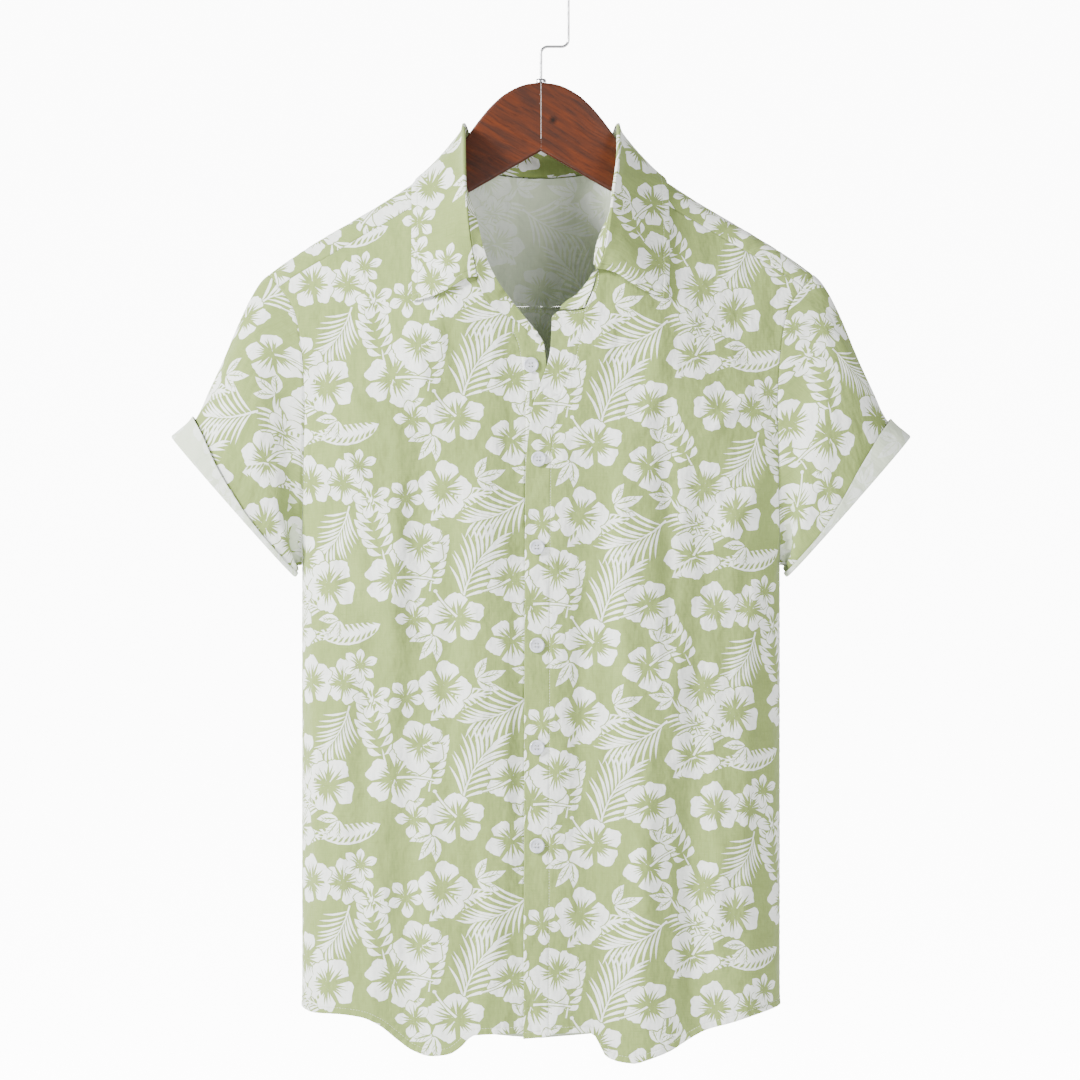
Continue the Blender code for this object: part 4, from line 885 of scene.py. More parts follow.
def flower(size, seed, petals=5, pointed=False, slits=4, lean=1.0, stamen=None):
    """A flower seen from the front, or from one side where it leans."""
    rng = np.random.default_rng(seed)
    half_angle = math.pi / petals * (0.80 if pointed else 0.90)
    start = rng.uniform(0, 2 * math.pi)
    white, cuts = [], []
    for k in range(petals):
        angle = start + 2 * math.pi * k / petals + rng.uniform(-0.10, 0.10)
        reach = rng.uniform(0.88, 1.06)
        turn = reach * np.exp(1j * angle)
        white.append(petal(half_angle, rng, pointed) * turn)
        middle = (slits - 1) / 2
        for n in range(slits):
            off = half_angle * 0.62 * (n - middle) / max(middle, 1) + rng.uniform(-0.05, 0.05)
            length = rng.uniform(0.60, 0.84) - 0.1 * abs(off)
            cuts.append(slit(off, length, turn, rng.uniform(-0.06, 0.06)))
    shapes = [Shape(False, outline * 1.045) for outline in white]
    shapes += [Shape(True, outline) for outline in white]
    shapes += [Shape(False, outline) for outline in cuts]
    if stamen is not None:
        tip = 1.22 * np.exp(1j * stamen)
        line = bowed(0.04 * tip, tip, 0.05, 7)
        shapes.append(Shape(False, stroke(line, np.linspace(0.17, 0.10, 7))))
        shapes.append(Shape(True, stroke(line, np.linspace(0.085, 0.05, 7))))
        shapes.append(Shape(True, disc(tip, 0.065)))
    leaning = [Shape(s.white, s.outline.real + 1j * lean * s.outline.imag) for s in shapes]
    return grown(leaning, size)


def palm(size, seed, count=10, bend=0.08):
    """A palm leaf along the real axis: slender leaflets on both sides of a rib."""
    rng = np.random.default_rng(seed)
    along, rib = np.linspace(0, 1, 30), bowed(0, 1, bend, 30)
    shapes = [Shape(True, stroke(bowed(0, 1, bend, 9), np.linspace(0.035, 0.012, 9)))]
    for hand in (1, -1):
        for k in range(count):
            t = 0.10 + 0.84 * k / (count - 1)
            base = between(t, along, rib)
            length = 0.30 + 0.34 * math.sin(math.pi * (0.15 + 0.6 * t))
            length = length * rng.uniform(0.9, 1.08) * (1.15 - 0.55 * t)
            angle = hand * (0.95 - 0.45 * t + rng.uniform(-0.04, 0.04))
            tip = base + length * np.exp(1j * angle)
            shapes.append(Shape(True, blade(base, tip, 0.042, -hand * 0.07, 0.45, 6)))
    return grown(shapes, size)


def feather(size, seed, count=11, width=0.30, bend=0.10):
    """A long leaf along the real axis, with dark stripes on both sides of its rib."""
    rng = np.random.default_rng(seed)
    t = np.linspace(0, 1, 15)
    rib = bowed(0, 1, bend, 15)
    half = 0.5 * width * np.sin(np.pi * t**0.9) ** 0.75
    along = np.gradient(rib)
    side = 1j * along / np.abs(along)
    leaf = tidy(np.concatenate([rib + side * half, (rib - side * half)[::-1]]))
    shapes = [Shape(False, leaf), Shape(True, leaf)]
    for hand in (1, -1):
        for k in range(count):
            s = 0.07 + 0.80 * k / (count - 1)
            ahead = s + 0.10
            reach = np.interp(ahead, t, half) * (1.12 if hand < 0 else 0.80)
            start = between(s, t, rib) + hand * between(s, t, side) * 0.018
            end = between(ahead, t, rib) + hand * between(ahead, t, side) * reach
            stripe = blade(start, end, 0.040 * rng.uniform(0.9, 1.15), hand * 0.06, 0.6, 6)
            shapes.append(Shape(False, stripe))
    return grown(shapes, size)


def fern(size, seed, count=7, bend=0.07):
    """A leaf with thick lobes on both sides of its rib, along the real axis."""
    rng = np.random.default_rng(seed)
    t = np.linspace(0, 1, 15)
    rib = bowed(0, 1, bend, 15)
    shapes = []
    for hand in (1, -1):
        for k in range(count):
            s = 0.06 + 0.78 * k / (count - 1)
            length = 0.33 * math.sin(math.pi * (0.22 + 0.62 * s)) * rng.uniform(0.9, 1.1)
            angle = hand * (0.98 - 0.35 * s)
            base = between(s, t, rib) + hand * 0.014j
            tip = base + length * np.exp(1j * angle)
            lobe = blade(base, tip, 0.105 * rng.uniform(0.9, 1.1), hand * 0.10, 0.62, 8)
            shapes.append(Shape(True, lobe))
            if k % 2:
                inner, outer = base + 0.3 * (tip - base), base + 0.85 * (tip - base)
                shapes.append(Shape(False, blade(inner, outer, 0.018, hand * 0.1, 0.5, 5)))
    shapes.append(Shape(True, blade(between(0.86, t, rib), 1.08 + 0.02j, 0.10, 0.0, 0.45, 8)))
    shapes.append(Shape(False, stroke(bowed(0, 1, bend, 9)[:8], np.linspace(0.034, 0.014, 8))))
    shapes.append(Shape(True, stroke(bowed(-0.10, 0.16, 0.03, 5), np.linspace(0.03, 0.02, 5))))
    return grown(shapes, size)


def sprig(size, seed, count=3):
    """Pointed leaves that fan out from one point along the real axis."""
    rng = np.random.default_rng(seed)
    shapes = []
    for k in range(count):
        middle = (count - 1) / 2
        angle = 0.75 * (k - middle) + rng.uniform(-0.08, 0.08)
        length = (1.0 if k == middle else 0.82) * rng.uniform(0.92, 1.05)
        tip = length * np.exp(1j * angle)
        bend = 0.05 * np.sign(angle)
        shapes.append(Shape(True, blade(0.06 * tip, tip, 0.33, bend, 0.45, 10)))
        shapes.append(Shape(False, blade(0.10 * tip, 0.82 * tip, 0.05, bend, 0.35, 6)))
        for hand in (1, -1):
            for s in (0.35, 0.52, 0.66):
                base = s * tip
                end = base + 0.20 * np.exp(1j * (angle + hand * 0.55))
                shapes.append(Shape(False, blade(base, end, 0.028, 0, 0.4, 4)))
    return grown(shapes, size)


TILE_WIDTH, TILE_HEIGHT = 262.0, 190.0  # of the repeat, which drops by half from column to column
PRINT_SLACK = 0.35  # how far an outline may be straightened
Motif = namedtuple("Motif", "make x y turn options")
LAYOUT = rows_of(Motif, [
    (palm, 30, 62, 205, dict(size=60, seed=1)), (palm, 98, 48, 158, dict(size=58, seed=23)),
    (palm, 226, 52, 62, dict(size=66, seed=11)), (palm, 118, 146, 240, dict(size=50, seed=17)),
    (fern, 52, 118, 118, dict(size=56, seed=2)), (fern, 152, 96, 102, dict(size=62, seed=9)),
    (fern, 196, 70, 78, dict(size=50, seed=26)), (feather, 148, 34, 187, dict(size=66, seed=8)),
    (feather, 196, 132, 24, dict(size=66, seed=18)), (feather, 36, 8, 12, dict(size=60, seed=27)),
    (sprig, 36, 84, 168, dict(size=26, seed=4)), (sprig, 200, 24, 235, dict(size=30, seed=13)),
    (sprig, 240, 172, 20, dict(size=30, seed=20)), (sprig, 108, 38, 228, dict(size=28, seed=29)),
    (sprig, 168, 52, 60, dict(size=30, seed=30)), (sprig, 22, 136, 70, dict(size=26, seed=33)),
    (flower, 66, 94, 0, dict(size=27, seed=5, slits=4)),
    (flower, 96, 70, 0, dict(size=26, seed=6, slits=4)),
    (flower, 58, 58, 0, dict(size=19, seed=7, pointed=True, slits=2)),
    (flower, 162, 78, 20, dict(size=34, seed=10, lean=0.8, stamen=-0.5)),
    (flower, 222, 40, 0, dict(size=30, seed=12, lean=0.85, stamen=2.2)),
    (flower, 112, 168, 0, dict(size=21, seed=14)),
    (flower, 140, 152, 0, dict(size=20, seed=15, pointed=True, slits=2)),
    (flower, 128, 184, 0, dict(size=18, seed=16, pointed=True, slits=2, petals=6)),
    (flower, 208, 162, 0, dict(size=26, seed=19, slits=4)),
    (flower, 12, 172, 0, dict(size=27, seed=21, lean=0.85, stamen=3.6)),
    (flower, 56, 28, 0, dict(size=27, seed=35, lean=0.85, stamen=1.0)),
    (flower, 180, 38, 0, dict(size=20, seed=37, pointed=True, slits=2)),
    (flower, 78, 168, 0, dict(size=24, seed=38, slits=4)),
    (flower, 186, 108, 0, dict(size=25, seed=40, slits=4)),
    (flower, 12, 114, 0, dict(size=25, seed=41, lean=0.9, stamen=0.6)),
    (flower, 172, 154, 0, dict(size=19, seed=42, pointed=True, slits=2)),
])


def simplified(outline):
    """The outline without the points that lie nearly on a line between their neighbours."""
    for _ in range(4):
        before, after = np.roll(outline, 1), np.roll(outline, -1)
        way = after - before
        off = np.abs(((outline - before) * way.conjugate()).imag)
        off = off / np.maximum(np.abs(way), 1e-9)
        drop = (off < PRINT_SLACK) & (np.arange(len(outline)) % 2 == 1)
        if len(outline) - drop.sum() >= 4:
            outline = outline[~drop]
    return outline


def tile():
    """The shapes of one repeat of the print, in the order in which they are painted."""
    shapes = []
    for motif in LAYOUT:
        turn = np.exp(1j * math.radians(motif.turn))
        for shape in motif.make(**motif.options):
            outline = complex(motif.x, motif.y) + turn * simplified(shape.outline)
            shapes.append(Shape(shape.white, outline))
    return shapes


# ------------------------------------------------------------------ cloth as a mesh
Edge = namedtuple("Edge", "kind first last")  # of an edge's points, all of them by default
SEAM, HEM, STITCHED, FOLD = "seam", "hem", "stitched", "fold"
HEM_WIDTH, LEAF_STITCH = 6.0, 6.0
HEM_LADDER = (0.6, 1.8, 4.6, 5.4, 6.0, 6.6, 8.0)
LADDERS = {  # distances from an edge where the cloth changes its slope
    SEAM: (0.5, 1.0, 1.7, 3.5),
    HEM: HEM_LADDER,
    STITCHED: HEM_LADDER,
    FOLD: (0.4, 1.0, 2.0),
}
MESH_STEP = 7.5
INNER_STEP = 9.0  # where the inner face is coarser than the outer one
WELD, INNER_WELD = 0.03, 0.0005  # points of the flat cloth this close become one
SLOPE_STEP = 0.25  # between the places whose heights give the relief's slope
LOCATE_STEPS = 14


def groove(distance, at, depth, width=0.6):
    return -depth * np.exp(-(((distance - at) / width) ** 2))


def edge_relief(kind, distance, along):
    """How far the cloth stands off its face near an edge."""
    pucker = np.sin(along * 0.83) + 0.6 * np.sin(along * 0.47 + 1.3)
    pucker = pucker + 0.5 * np.sin(along * 1.31)
    if kind == SEAM:
        sunk = -0.6 * np.clip(1 - distance / 1.7, 0, 1) ** 2
        return sunk + 0.13 * pucker * np.exp(-((distance / 5.0) ** 2))
    rounded = -0.35 * np.clip(1 - distance / 0.9, 0, 1) ** 2
    if kind == FOLD:
        return rounded
    swell = 0.22 * smooth_step((HEM_WIDTH + 0.3 - distance) / 1.0)
    fading = np.exp(-np.maximum(distance - HEM_WIDTH, 0) / 5.0)
    return rounded + swell + groove(distance, HEM_WIDTH, 0.3) + 0.2 * pucker * fading


REACH = 32.0  # beyond this no edge or line changes the cloth
BLOCK = 8  # pieces of a line that are measured at once


def distance_to(points, line):
    """Distances from points to a line of points, and how far along it the nearest place is."""
    start, way = line[:-1], np.diff(line, axis=0)
    length = np.maximum(np.linalg.norm(way, axis=1), 1e-6)
    run = np.concatenate([[0.0], np.cumsum(length)])[:-1]
    found, along = np.full(len(points), 10 * REACH), np.zeros(len(points))
    for k in range(0, len(way), BLOCK):
        some = line[k : k + BLOCK + 1]
        low, high = some.min(axis=0) - REACH, some.max(axis=0) + REACH
        near = np.flatnonzero(((points > low) & (points < high)).all(axis=1))
        if not len(near):
            continue
        ways, lengths = way[k : k + BLOCK], length[k : k + BLOCK]
        off = points[near, None, :] - start[k : k + BLOCK]
        t = np.clip(np.sum(off * ways, axis=2) / lengths**2, 0, 1)
        gap = np.linalg.norm(off - ways * t[..., None], axis=2)
        best = gap.argmin(axis=1)
        pick = np.arange(len(best))
        least = gap[pick, best]
        closer = least < found[near]
        found[near[closer]] = least[closer]
        along[near[closer]] = (run[k + best] + t[pick, best] * length[k + best])[closer]
    return found, along


def offset_line(line, distance, inside):
    """The line moved this far towards a point inside."""
    along = np.gradient(line, axis=0)
    side = np.stack([-along[:, 1], along[:, 0]], axis=-1)
    side /= np.maximum(np.linalg.norm(side, axis=1, keepdims=True), 1e-9)
    if np.sum(side * (inside - line)) < 0:
        side = -side
    return line + side * distance


def thinned(line, step=3.0):
    """The line with points about this far apart, both ends kept."""
    along = np.concatenate([[0.0], np.cumsum(np.linalg.norm(np.diff(line, axis=0), axis=1))])
    at = np.linspace(0, along[-1], max(int(along[-1] / step), 1) + 1)
    return np.stack([np.interp(at, along, line[:, axis]) for axis in range(2)], axis=-1)


def locate(flat, points):
    """Rows and columns of a grid where these points of the flat cloth lie."""
    rows, columns = flat.shape[:2]
    tree = KDTree(rows * columns)
    for number, place in enumerate(flat.reshape(-1, 2)):
        tree.insert((place[0], place[1], 0.0), number)
    tree.balance()
    near = np.array([tree.find((x, y, 0.0))[1] for x, y in points])
    at_row, at_column = (near // columns).astype(float), (near % columns).astype(float)
    best = np.full(len(points), np.inf)
    found = np.stack([at_row, at_column])
    for _ in range(LOCATE_STEPS):
        here, down, right = bilinear(flat, at_row, at_column)
        miss = points - here
        gap = np.linalg.norm(miss, axis=1)
        better = gap < best
        best[better] = gap[better]
        found[:, better] = np.stack([at_row, at_column])[:, better]
        det = down[:, 0] * right[:, 1] - down[:, 1] * right[:, 0]
        det = np.where(np.abs(det) < 1e-6, 1e-6, det)
        step_down = (miss[:, 0] * right[:, 1] - miss[:, 1] * right[:, 0]) / det
        step_right = (down[:, 0] * miss[:, 1] - down[:, 1] * miss[:, 0]) / det
        at_row = np.clip(at_row + np.clip(step_down, -2, 2), 0, rows - 1)
        at_column = np.clip(at_column + np.clip(step_right, -2, 2), 0, columns - 1)
    return found


def inside_outline(points, outline):
    """Which points lie inside a closed outline."""
    x, y = points[:, 0], points[:, 1]
    inside = np.zeros(len(points), bool)
    x0, y0 = outline[-1]
    for x1, y1 in outline:
        crosses = (y0 > y) != (y1 > y)
        if crosses.any():
            where = x0 + (y[crosses] - y0) * (x1 - x0) / (y1 - y0)
            inside[crosses] ^= x[crosses] < where
        x0, y0 = x1, y1
    return inside


class Cloth:
    """One piece of cloth: a panel, what its edges are like and how the print lies on it."""

    def __init__(self, name, panel, edges, shift, lines=(), relief=None):
        self.name, self.panel, self.relief_more = name, panel, relief
        flat = panel.flat
        self.edges = []
        sides = {"top": flat[0], "low": flat[-1], "first": flat[:, 0], "last": flat[:, -1]}
        self.middle = flat.reshape(-1, 2).mean(axis=0)
        for side, kind in edges.items():
            self.edges.append((kind, thinned(sides[side])))
        self.lines = [np.asarray(line, float) for line in lines]
        corners = [flat[0], flat[:, -1], flat[-1, ::-1], flat[::-1, 0]]
        self.outline = np.vstack([thinned(side)[:-1] for side in corners])
        self.shift = np.array(shift, float)

    def relief(self, points):
        total = np.zeros(len(points))
        for kind, line in self.edges:
            distance, along = distance_to(points, line)
            total += edge_relief(kind, distance, along)
        if self.relief_more is not None:
            total += self.relief_more(points)
        return total

    def surface(self, points):
        """Places on the outer face and their normals, for points of the flat cloth."""
        rows, columns = locate(self.panel.flat, points)
        face, face_down, face_right = bilinear(self.panel.face, rows, columns)
        normal = unit(bilinear(self.panel.normals, rows, columns)[0])
        _, down, right = bilinear(self.panel.flat, rows, columns)
        det = down[:, 0] * right[:, 1] - down[:, 1] * right[:, 0]
        det = np.where(np.abs(det) < 1e-6, 1e-6, det)[:, None]
        along_x = (face_down * right[:, 1:] - face_right * down[:, 1:]) / det
        along_y = (face_right * down[:, :1] - face_down * right[:, :1]) / det
        height = self.relief(points)
        slope_x, slope_y = (
            (self.relief(points + step) - self.relief(points - step)) / (2 * SLOPE_STEP)
            for step in ((SLOPE_STEP, 0), (0, SLOPE_STEP))
        )
        tilt = unit(along_x) * slope_x[:, None] + unit(along_y) * slope_y[:, None]
        return face + normal * height[:, None], unit(normal - tilt)

    def ladder(self):
        for kind, line in self.edges:
            for distance in LADDERS[kind]:
                yield offset_line(line, distance, self.middle)
        yield from self.lines


def printed_shapes(cloth):
    """The print's shapes that reach this cloth, in the order in which they are painted."""
    low = cloth.outline.min(axis=0) + cloth.shift
    high = cloth.outline.max(axis=0) + cloth.shift
    columns = range(math.floor(low[0] / TILE_WIDTH) - 1, math.ceil(high[0] / TILE_WIDTH) + 1)
    rows = range(math.floor(low[1] / TILE_HEIGHT) - 2, math.ceil(high[1] / TILE_HEIGHT) + 1)
    found = []
    for shape in TILE:
        for column in columns:
            for row in rows:
                drop = TILE_HEIGHT / 2 * (column % 2)
                place = complex(column * TILE_WIDTH, row * TILE_HEIGHT + drop)
                outline = shape.outline + place
                outline = np.stack([outline.real, outline.imag], axis=-1)
                if (outline.max(axis=0) > low).all() and (outline.min(axis=0) < high).all():
                    found.append((shape.white, outline - cloth.shift))
    return found


def partition(outline, lines, shapes, step, weld):
    """A flat cloth cut into triangles along these lines and the print's outlines."""
    places, edges = [], []

    def add(points, closed):
        start, count = len(places), len(points)
        places.extend((float(x), float(y)) for x, y in points)
        last = count if closed else count - 1
        edges.extend((start + k, start + (k + 1) % count) for k in range(last))

    add(outline, True)
    for line in lines:
        add(line, False)
    for _, shape in shapes:
        add(shape, True)
    low, high = outline.min(axis=0), outline.max(axis=0)
    xs, ys = np.arange(low[0], high[0], step), np.arange(low[1], high[1], step)
    across, up = np.meshgrid(xs, ys)
    across = across + (np.arange(len(ys)) % 2)[:, None] * step / 2
    places.extend(zip(across.ravel().tolist(), up.ravel().tolist()))
    found = delaunay_2d_cdt([Vector(place) for place in places], edges, [], 0, weld, False)
    points = np.array([tuple(place) for place in found[0]])
    faces = np.array(found[2])
    centres = points[faces].mean(axis=1)
    faces = faces[inside_outline(centres, outline)]
    a, b, c = (points[faces[:, k]] for k in range(3))
    area = (b[:, 0] - a[:, 0]) * (c[:, 1] - a[:, 1]) - (b[:, 1] - a[:, 1]) * (c[:, 0] - a[:, 0])
    used, faces = np.unique(faces[np.abs(area) > 1e-9], return_inverse=True)
    return points[used], faces.reshape(-1, 3)


def painted(points, faces, shapes):
    """Which triangles are white."""
    centres = points[faces].mean(axis=1)
    white = np.zeros(len(faces), bool)
    order = np.argsort(centres[:, 0])
    ordered = centres[order]
    for is_white, outline in shapes:
        low, high = outline.min(axis=0), outline.max(axis=0)
        first, last = np.searchsorted(ordered[:, 0], [low[0], high[0]])
        some = ordered[first:last]
        near = (some[:, 1] > low[1]) & (some[:, 1] < high[1])
        if near.any():
            numbers = order[first:last][near]
            hit = inside_outline(centres[numbers], outline)
            white[numbers[hit]] = is_white
    return white


def rim_loop(faces):
    """The points round the edge of a triangulated cloth, in the direction of its triangles."""
    sides = np.vstack([faces[:, [0, 1]], faces[:, [1, 2]], faces[:, [2, 0]]])
    size = faces.max() + 1
    keys = np.sort(sides, axis=1) @ (size, 1)
    _, first, counts = np.unique(keys, return_index=True, return_counts=True)
    after = dict(sides[first[counts == 1]].tolist())
    loops = []
    while after:
        start = next(iter(after))
        loop = [start]
        while loop[-1] in after:
            loop.append(after.pop(loop[-1]))
        loops.append(loop[:-1])
    return np.array(max(loops, key=len))


def sew(cloth, materials, inside_print=None):
    """Makes the cloth's mesh: its outer face, its inner face and the rim between them. The
    inner face has only the shapes that are asked for, or all of them."""
    shapes = printed_shapes(cloth)
    points, faces = partition(cloth.outline, cloth.ladder(), shapes, MESH_STEP, WELD)
    places, normals = cloth.surface(points)
    a, b, c = (places[faces[:, k]] for k in range(3))
    flip = np.sum(np.cross(b - a, c - a) * normals[faces].mean(axis=1)) < 0
    white = painted(points, faces, shapes)
    if flip:
        faces = faces[:, ::-1]
    rim = rim_loop(faces)
    if inside_print is None:
        inner, inner_faces, inner_white, inner_rim = points, faces[:, ::-1], white, rim
        inner_places, inner_normals = places, normals
    else:
        kept = [shape for shape in shapes if inside_print(shape[1])]
        inner, inner_faces = partition(points[rim], cloth.lines, kept, INNER_STEP, INNER_WELD)
        inner_places, inner_normals = cloth.surface(inner)
        inner_white = painted(inner, inner_faces, kept)
        if not flip:
            inner_faces = inner_faces[:, ::-1]
        inner_rim = rim_loop(inner_faces)
        tree = KDTree(len(inner_rim))
        for number in inner_rim.tolist():
            tree.insert((*inner[number], 0.0), number)
        tree.balance()
        inner_rim = np.array([tree.find((x, y, 0.0))[1] for x, y in points[rim]])
    inner_places = inner_places - inner_normals * CLOTH
    count = len(points)
    every = np.vstack([places, inner_places])
    inner_rim = inner_rim + count
    round_it = np.stack([np.roll(rim, -1), rim, inner_rim, np.roll(inner_rim, -1)], axis=-1)
    round_it = round_it[round_it[:, 2] != round_it[:, 3]]
    mesh = bpy.data.meshes.new(f"{cloth.name}_cloth")
    polygons = faces.tolist() + (inner_faces + count).tolist() + round_it.tolist()
    mesh.from_pydata((every * MM).tolist(), [], polygons)
    for material in materials:
        mesh.materials.append(material)
    second = len(materials) // 2
    slots = np.concatenate([white * 1, inner_white * 1 + second, np.zeros(len(round_it), int)])
    mesh.polygons.foreach_set("material_index", slots.astype(np.int32))
    add_flat_maps(mesh, cloth, points, inner, len(faces) + len(inner_faces), round_it[:, 1])
    mesh.shade_smooth()
    a, b, c = (every[round_it[:, k]] for k in range(3))
    corner_normals = np.vstack([
        normals[faces].reshape(-1, 3),
        -inner_normals[inner_faces].reshape(-1, 3),
        np.repeat(unit(np.cross(b - a, c - a)), 4, axis=0),
    ])
    mesh.normals_split_custom_set(corner_normals.tolist())
    return add_object(mesh.name, mesh)


MAP_ROOM, MAP_MARGIN = 1.03, 0.01  # a map's size over what it holds, and the gap between its halves


def add_flat_maps(mesh, cloth, points, inner, triangles, rim):
    """A map in metres of the flat cloth for its weave, and one that holds both faces apart."""
    weave = np.vstack([points, inner * (-1, 1)])
    low, high = cloth.outline.min(axis=0), cloth.outline.max(axis=0)
    wide, tall = high - low
    side_by_side = wide < tall
    size = (max(2 * wide, tall) if side_by_side else max(wide, 2 * tall)) * MAP_ROOM
    beside_it = (wide / size + MAP_MARGIN, 0) if side_by_side else (0, tall / size + MAP_MARGIN)
    both = np.vstack([(points - low) / size, (inner - low) / size + beside_it]) + MAP_MARGIN / 2
    corners = np.zeros(len(mesh.loops), np.int32)
    mesh.loops.foreach_get("vertex_index", corners)
    for name, places in (("Flat", weave * MM), ("OFBake", both)):
        layer = mesh.uv_layers.new(name=name)
        values = places[corners]
        if name == "OFBake":
            values[3 * triangles :] = both[np.repeat(rim, 4)]
        layer.data.foreach_set("uv", values.astype(np.float32).ravel())


BENT_BAND = 0.35  # a cut that fills less than this share of its rectangle is a bent band


def cut_size(cloth):
    """Width, length and area of the flat cloth, in metres. A bent band is measured along its
    length."""
    wide, tall = cloth.outline.max(axis=0) - cloth.outline.min(axis=0)
    x, y = cloth.outline[:, 0], cloth.outline[:, 1]
    area = abs(np.dot(x, np.roll(y, -1)) - np.dot(y, np.roll(x, -1))) / 2
    if area < BENT_BAND * wide * tall:
        round_it = np.linalg.norm(cloth.outline - np.roll(cloth.outline, 1, axis=0), axis=1).sum()
        tall = (round_it / 2 - math.sqrt(round_it**2 / 4 - 4 * area)) / 2
        wide = area / tall
    return (wide * MM, tall * MM), area * MM * MM


# ------------------------------------------------------------------ materials
def new_material(name):
    material = bpy.data.materials.new(name)
    material.use_nodes = True
    tree = material.node_tree
    return material, tree, tree.nodes["Principled BSDF"]


def add_node(tree, kind, values=(), **settings):
    node = tree.nodes.new(kind)
    for key, value in settings.items():
        setattr(node, key, value)
    for key, value in dict(values).items():
        node.inputs[key].default_value = value
    return node


def scaled_noise(tree, place, scale, detail, stretch=(1.0, 1.0, 1.0)):
    """A noise texture that is stretched along an axis, read at this place."""
    mapping = add_node(tree, "ShaderNodeMapping", {"Scale": stretch})
    noise = add_node(tree, "ShaderNodeTexNoise", {"Scale": scale, "Detail": detail})
    tree.links.new(place, mapping.inputs["Vector"])
    tree.links.new(mapping.outputs["Vector"], noise.inputs["Vector"])
    return noise.outputs["Fac"]


def ranged(tree, value, low, high, start=0.3, end=0.7):
    node = add_node(
        tree, "ShaderNodeMapRange",
        {"From Min": start, "From Max": end, "To Min": low, "To Max": high},
    )
    tree.links.new(value, node.inputs["Value"])
    return node.outputs["Result"]


def mixed(tree, share, first, second):
    """The colour between two, each a colour or an output."""
    node = add_node(tree, "ShaderNodeMix", data_type="RGBA")
    tree.links.new(share, node.inputs["Factor"])
    for key, colour in (("A", first), ("B", second)):
        socket = next(s for s in node.inputs if s.name == key and s.type == "RGBA")
        if isinstance(colour, tuple):
            socket.default_value = (*colour, 1.0)
        else:
            tree.links.new(colour, socket)
    return next(s for s in node.outputs if s.type == "RGBA")


def bumped(tree, shader, heights):
    """Adds bumps, each a height and how far it stands out in metres."""
    normal = None
    for height, distance in heights:
        node = add_node(tree, "ShaderNodeBump", {"Distance": distance, "Strength": 1.0})
        tree.links.new(height, node.inputs["Height"])
        if normal is not None:
            tree.links.new(normal, node.inputs["Normal"])
        normal = node.outputs["Normal"]
    tree.links.new(normal, shader.inputs["Normal"])


def cotton(name, colour, darker):
    """Plain-woven cotton: uneven threads down and across, and a slightly uneven dye."""
    material, tree, shader = new_material(name)
    place = add_node(tree, "ShaderNodeUVMap", uv_map="Flat").outputs["UV"]
    down = scaled_noise(tree, place, 60.0, 3.0, (22.0, 1.0, 1.0))
    across = scaled_noise(tree, place, 60.0, 3.0, (1.0, 22.0, 1.0))
    cloudy = scaled_noise(tree, place, 14.0, 2.0)
    threads = add_node(tree, "ShaderNodeMath", operation="MAXIMUM")
    tree.links.new(down, threads.inputs[0])
    tree.links.new(across, threads.inputs[1])
    dyed = mixed(tree, ranged(tree, cloudy, 0.0, 0.45), colour, darker)
    woven = mixed(tree, ranged(tree, threads.outputs[0], 0.0, 0.75, 0.45, 0.75), dyed, darker)
    tree.links.new(woven, shader.inputs["Base Color"])
    tree.links.new(ranged(tree, down, 0.78, 0.92), shader.inputs["Roughness"])
    shader.inputs["Sheen Weight"].default_value = 0.18
    shader.inputs["Sheen Roughness"].default_value = 0.5
    shader.inputs["Specular IOR Level"].default_value = 0.25
    weave = scaled_noise(tree, place, 1900.0, 1.0)
    rumple = scaled_noise(tree, place, 26.0, 3.0, (1.5, 1.0, 1.0))
    bumped(tree, shader, ((rumple, 0.006), (threads.outputs[0], 0.00022), (weave, 0.00012)))
    return material


def object_place(tree):
    return add_node(tree, "ShaderNodeTexCoord").outputs["Object"]


def thread_material(name, colour, darker):
    material, tree, shader = new_material(name)
    noise = scaled_noise(tree, object_place(tree), 900.0, 2.0)
    shade = mixed(tree, ranged(tree, noise, 0.0, 1.0), colour, darker)
    tree.links.new(shade, shader.inputs["Base Color"])
    shader.inputs["Roughness"].default_value = 0.7
    bumped(tree, shader, ((noise, 0.0001),))
    return material


def resin_material():
    material, tree, shader = new_material("button_resin")
    place = object_place(tree)
    swirl = scaled_noise(tree, place, 130.0, 4.0, (1.0, 2.4, 1.0))
    share = ranged(tree, swirl, 0.0, 1.0, 0.35, 0.65)
    pearly = mixed(tree, share, (0.66, 0.68, 0.73), (0.50, 0.52, 0.57))
    tree.links.new(pearly, shader.inputs["Base Color"])
    tree.links.new(ranged(tree, swirl, 0.16, 0.30), shader.inputs["Roughness"])
    shader.inputs["Coat Weight"].default_value = 0.4
    bumped(tree, shader, ((swirl, 0.00008),))
    return material


KNOT_PLACE = (0.0115, -0.006, -0.170)


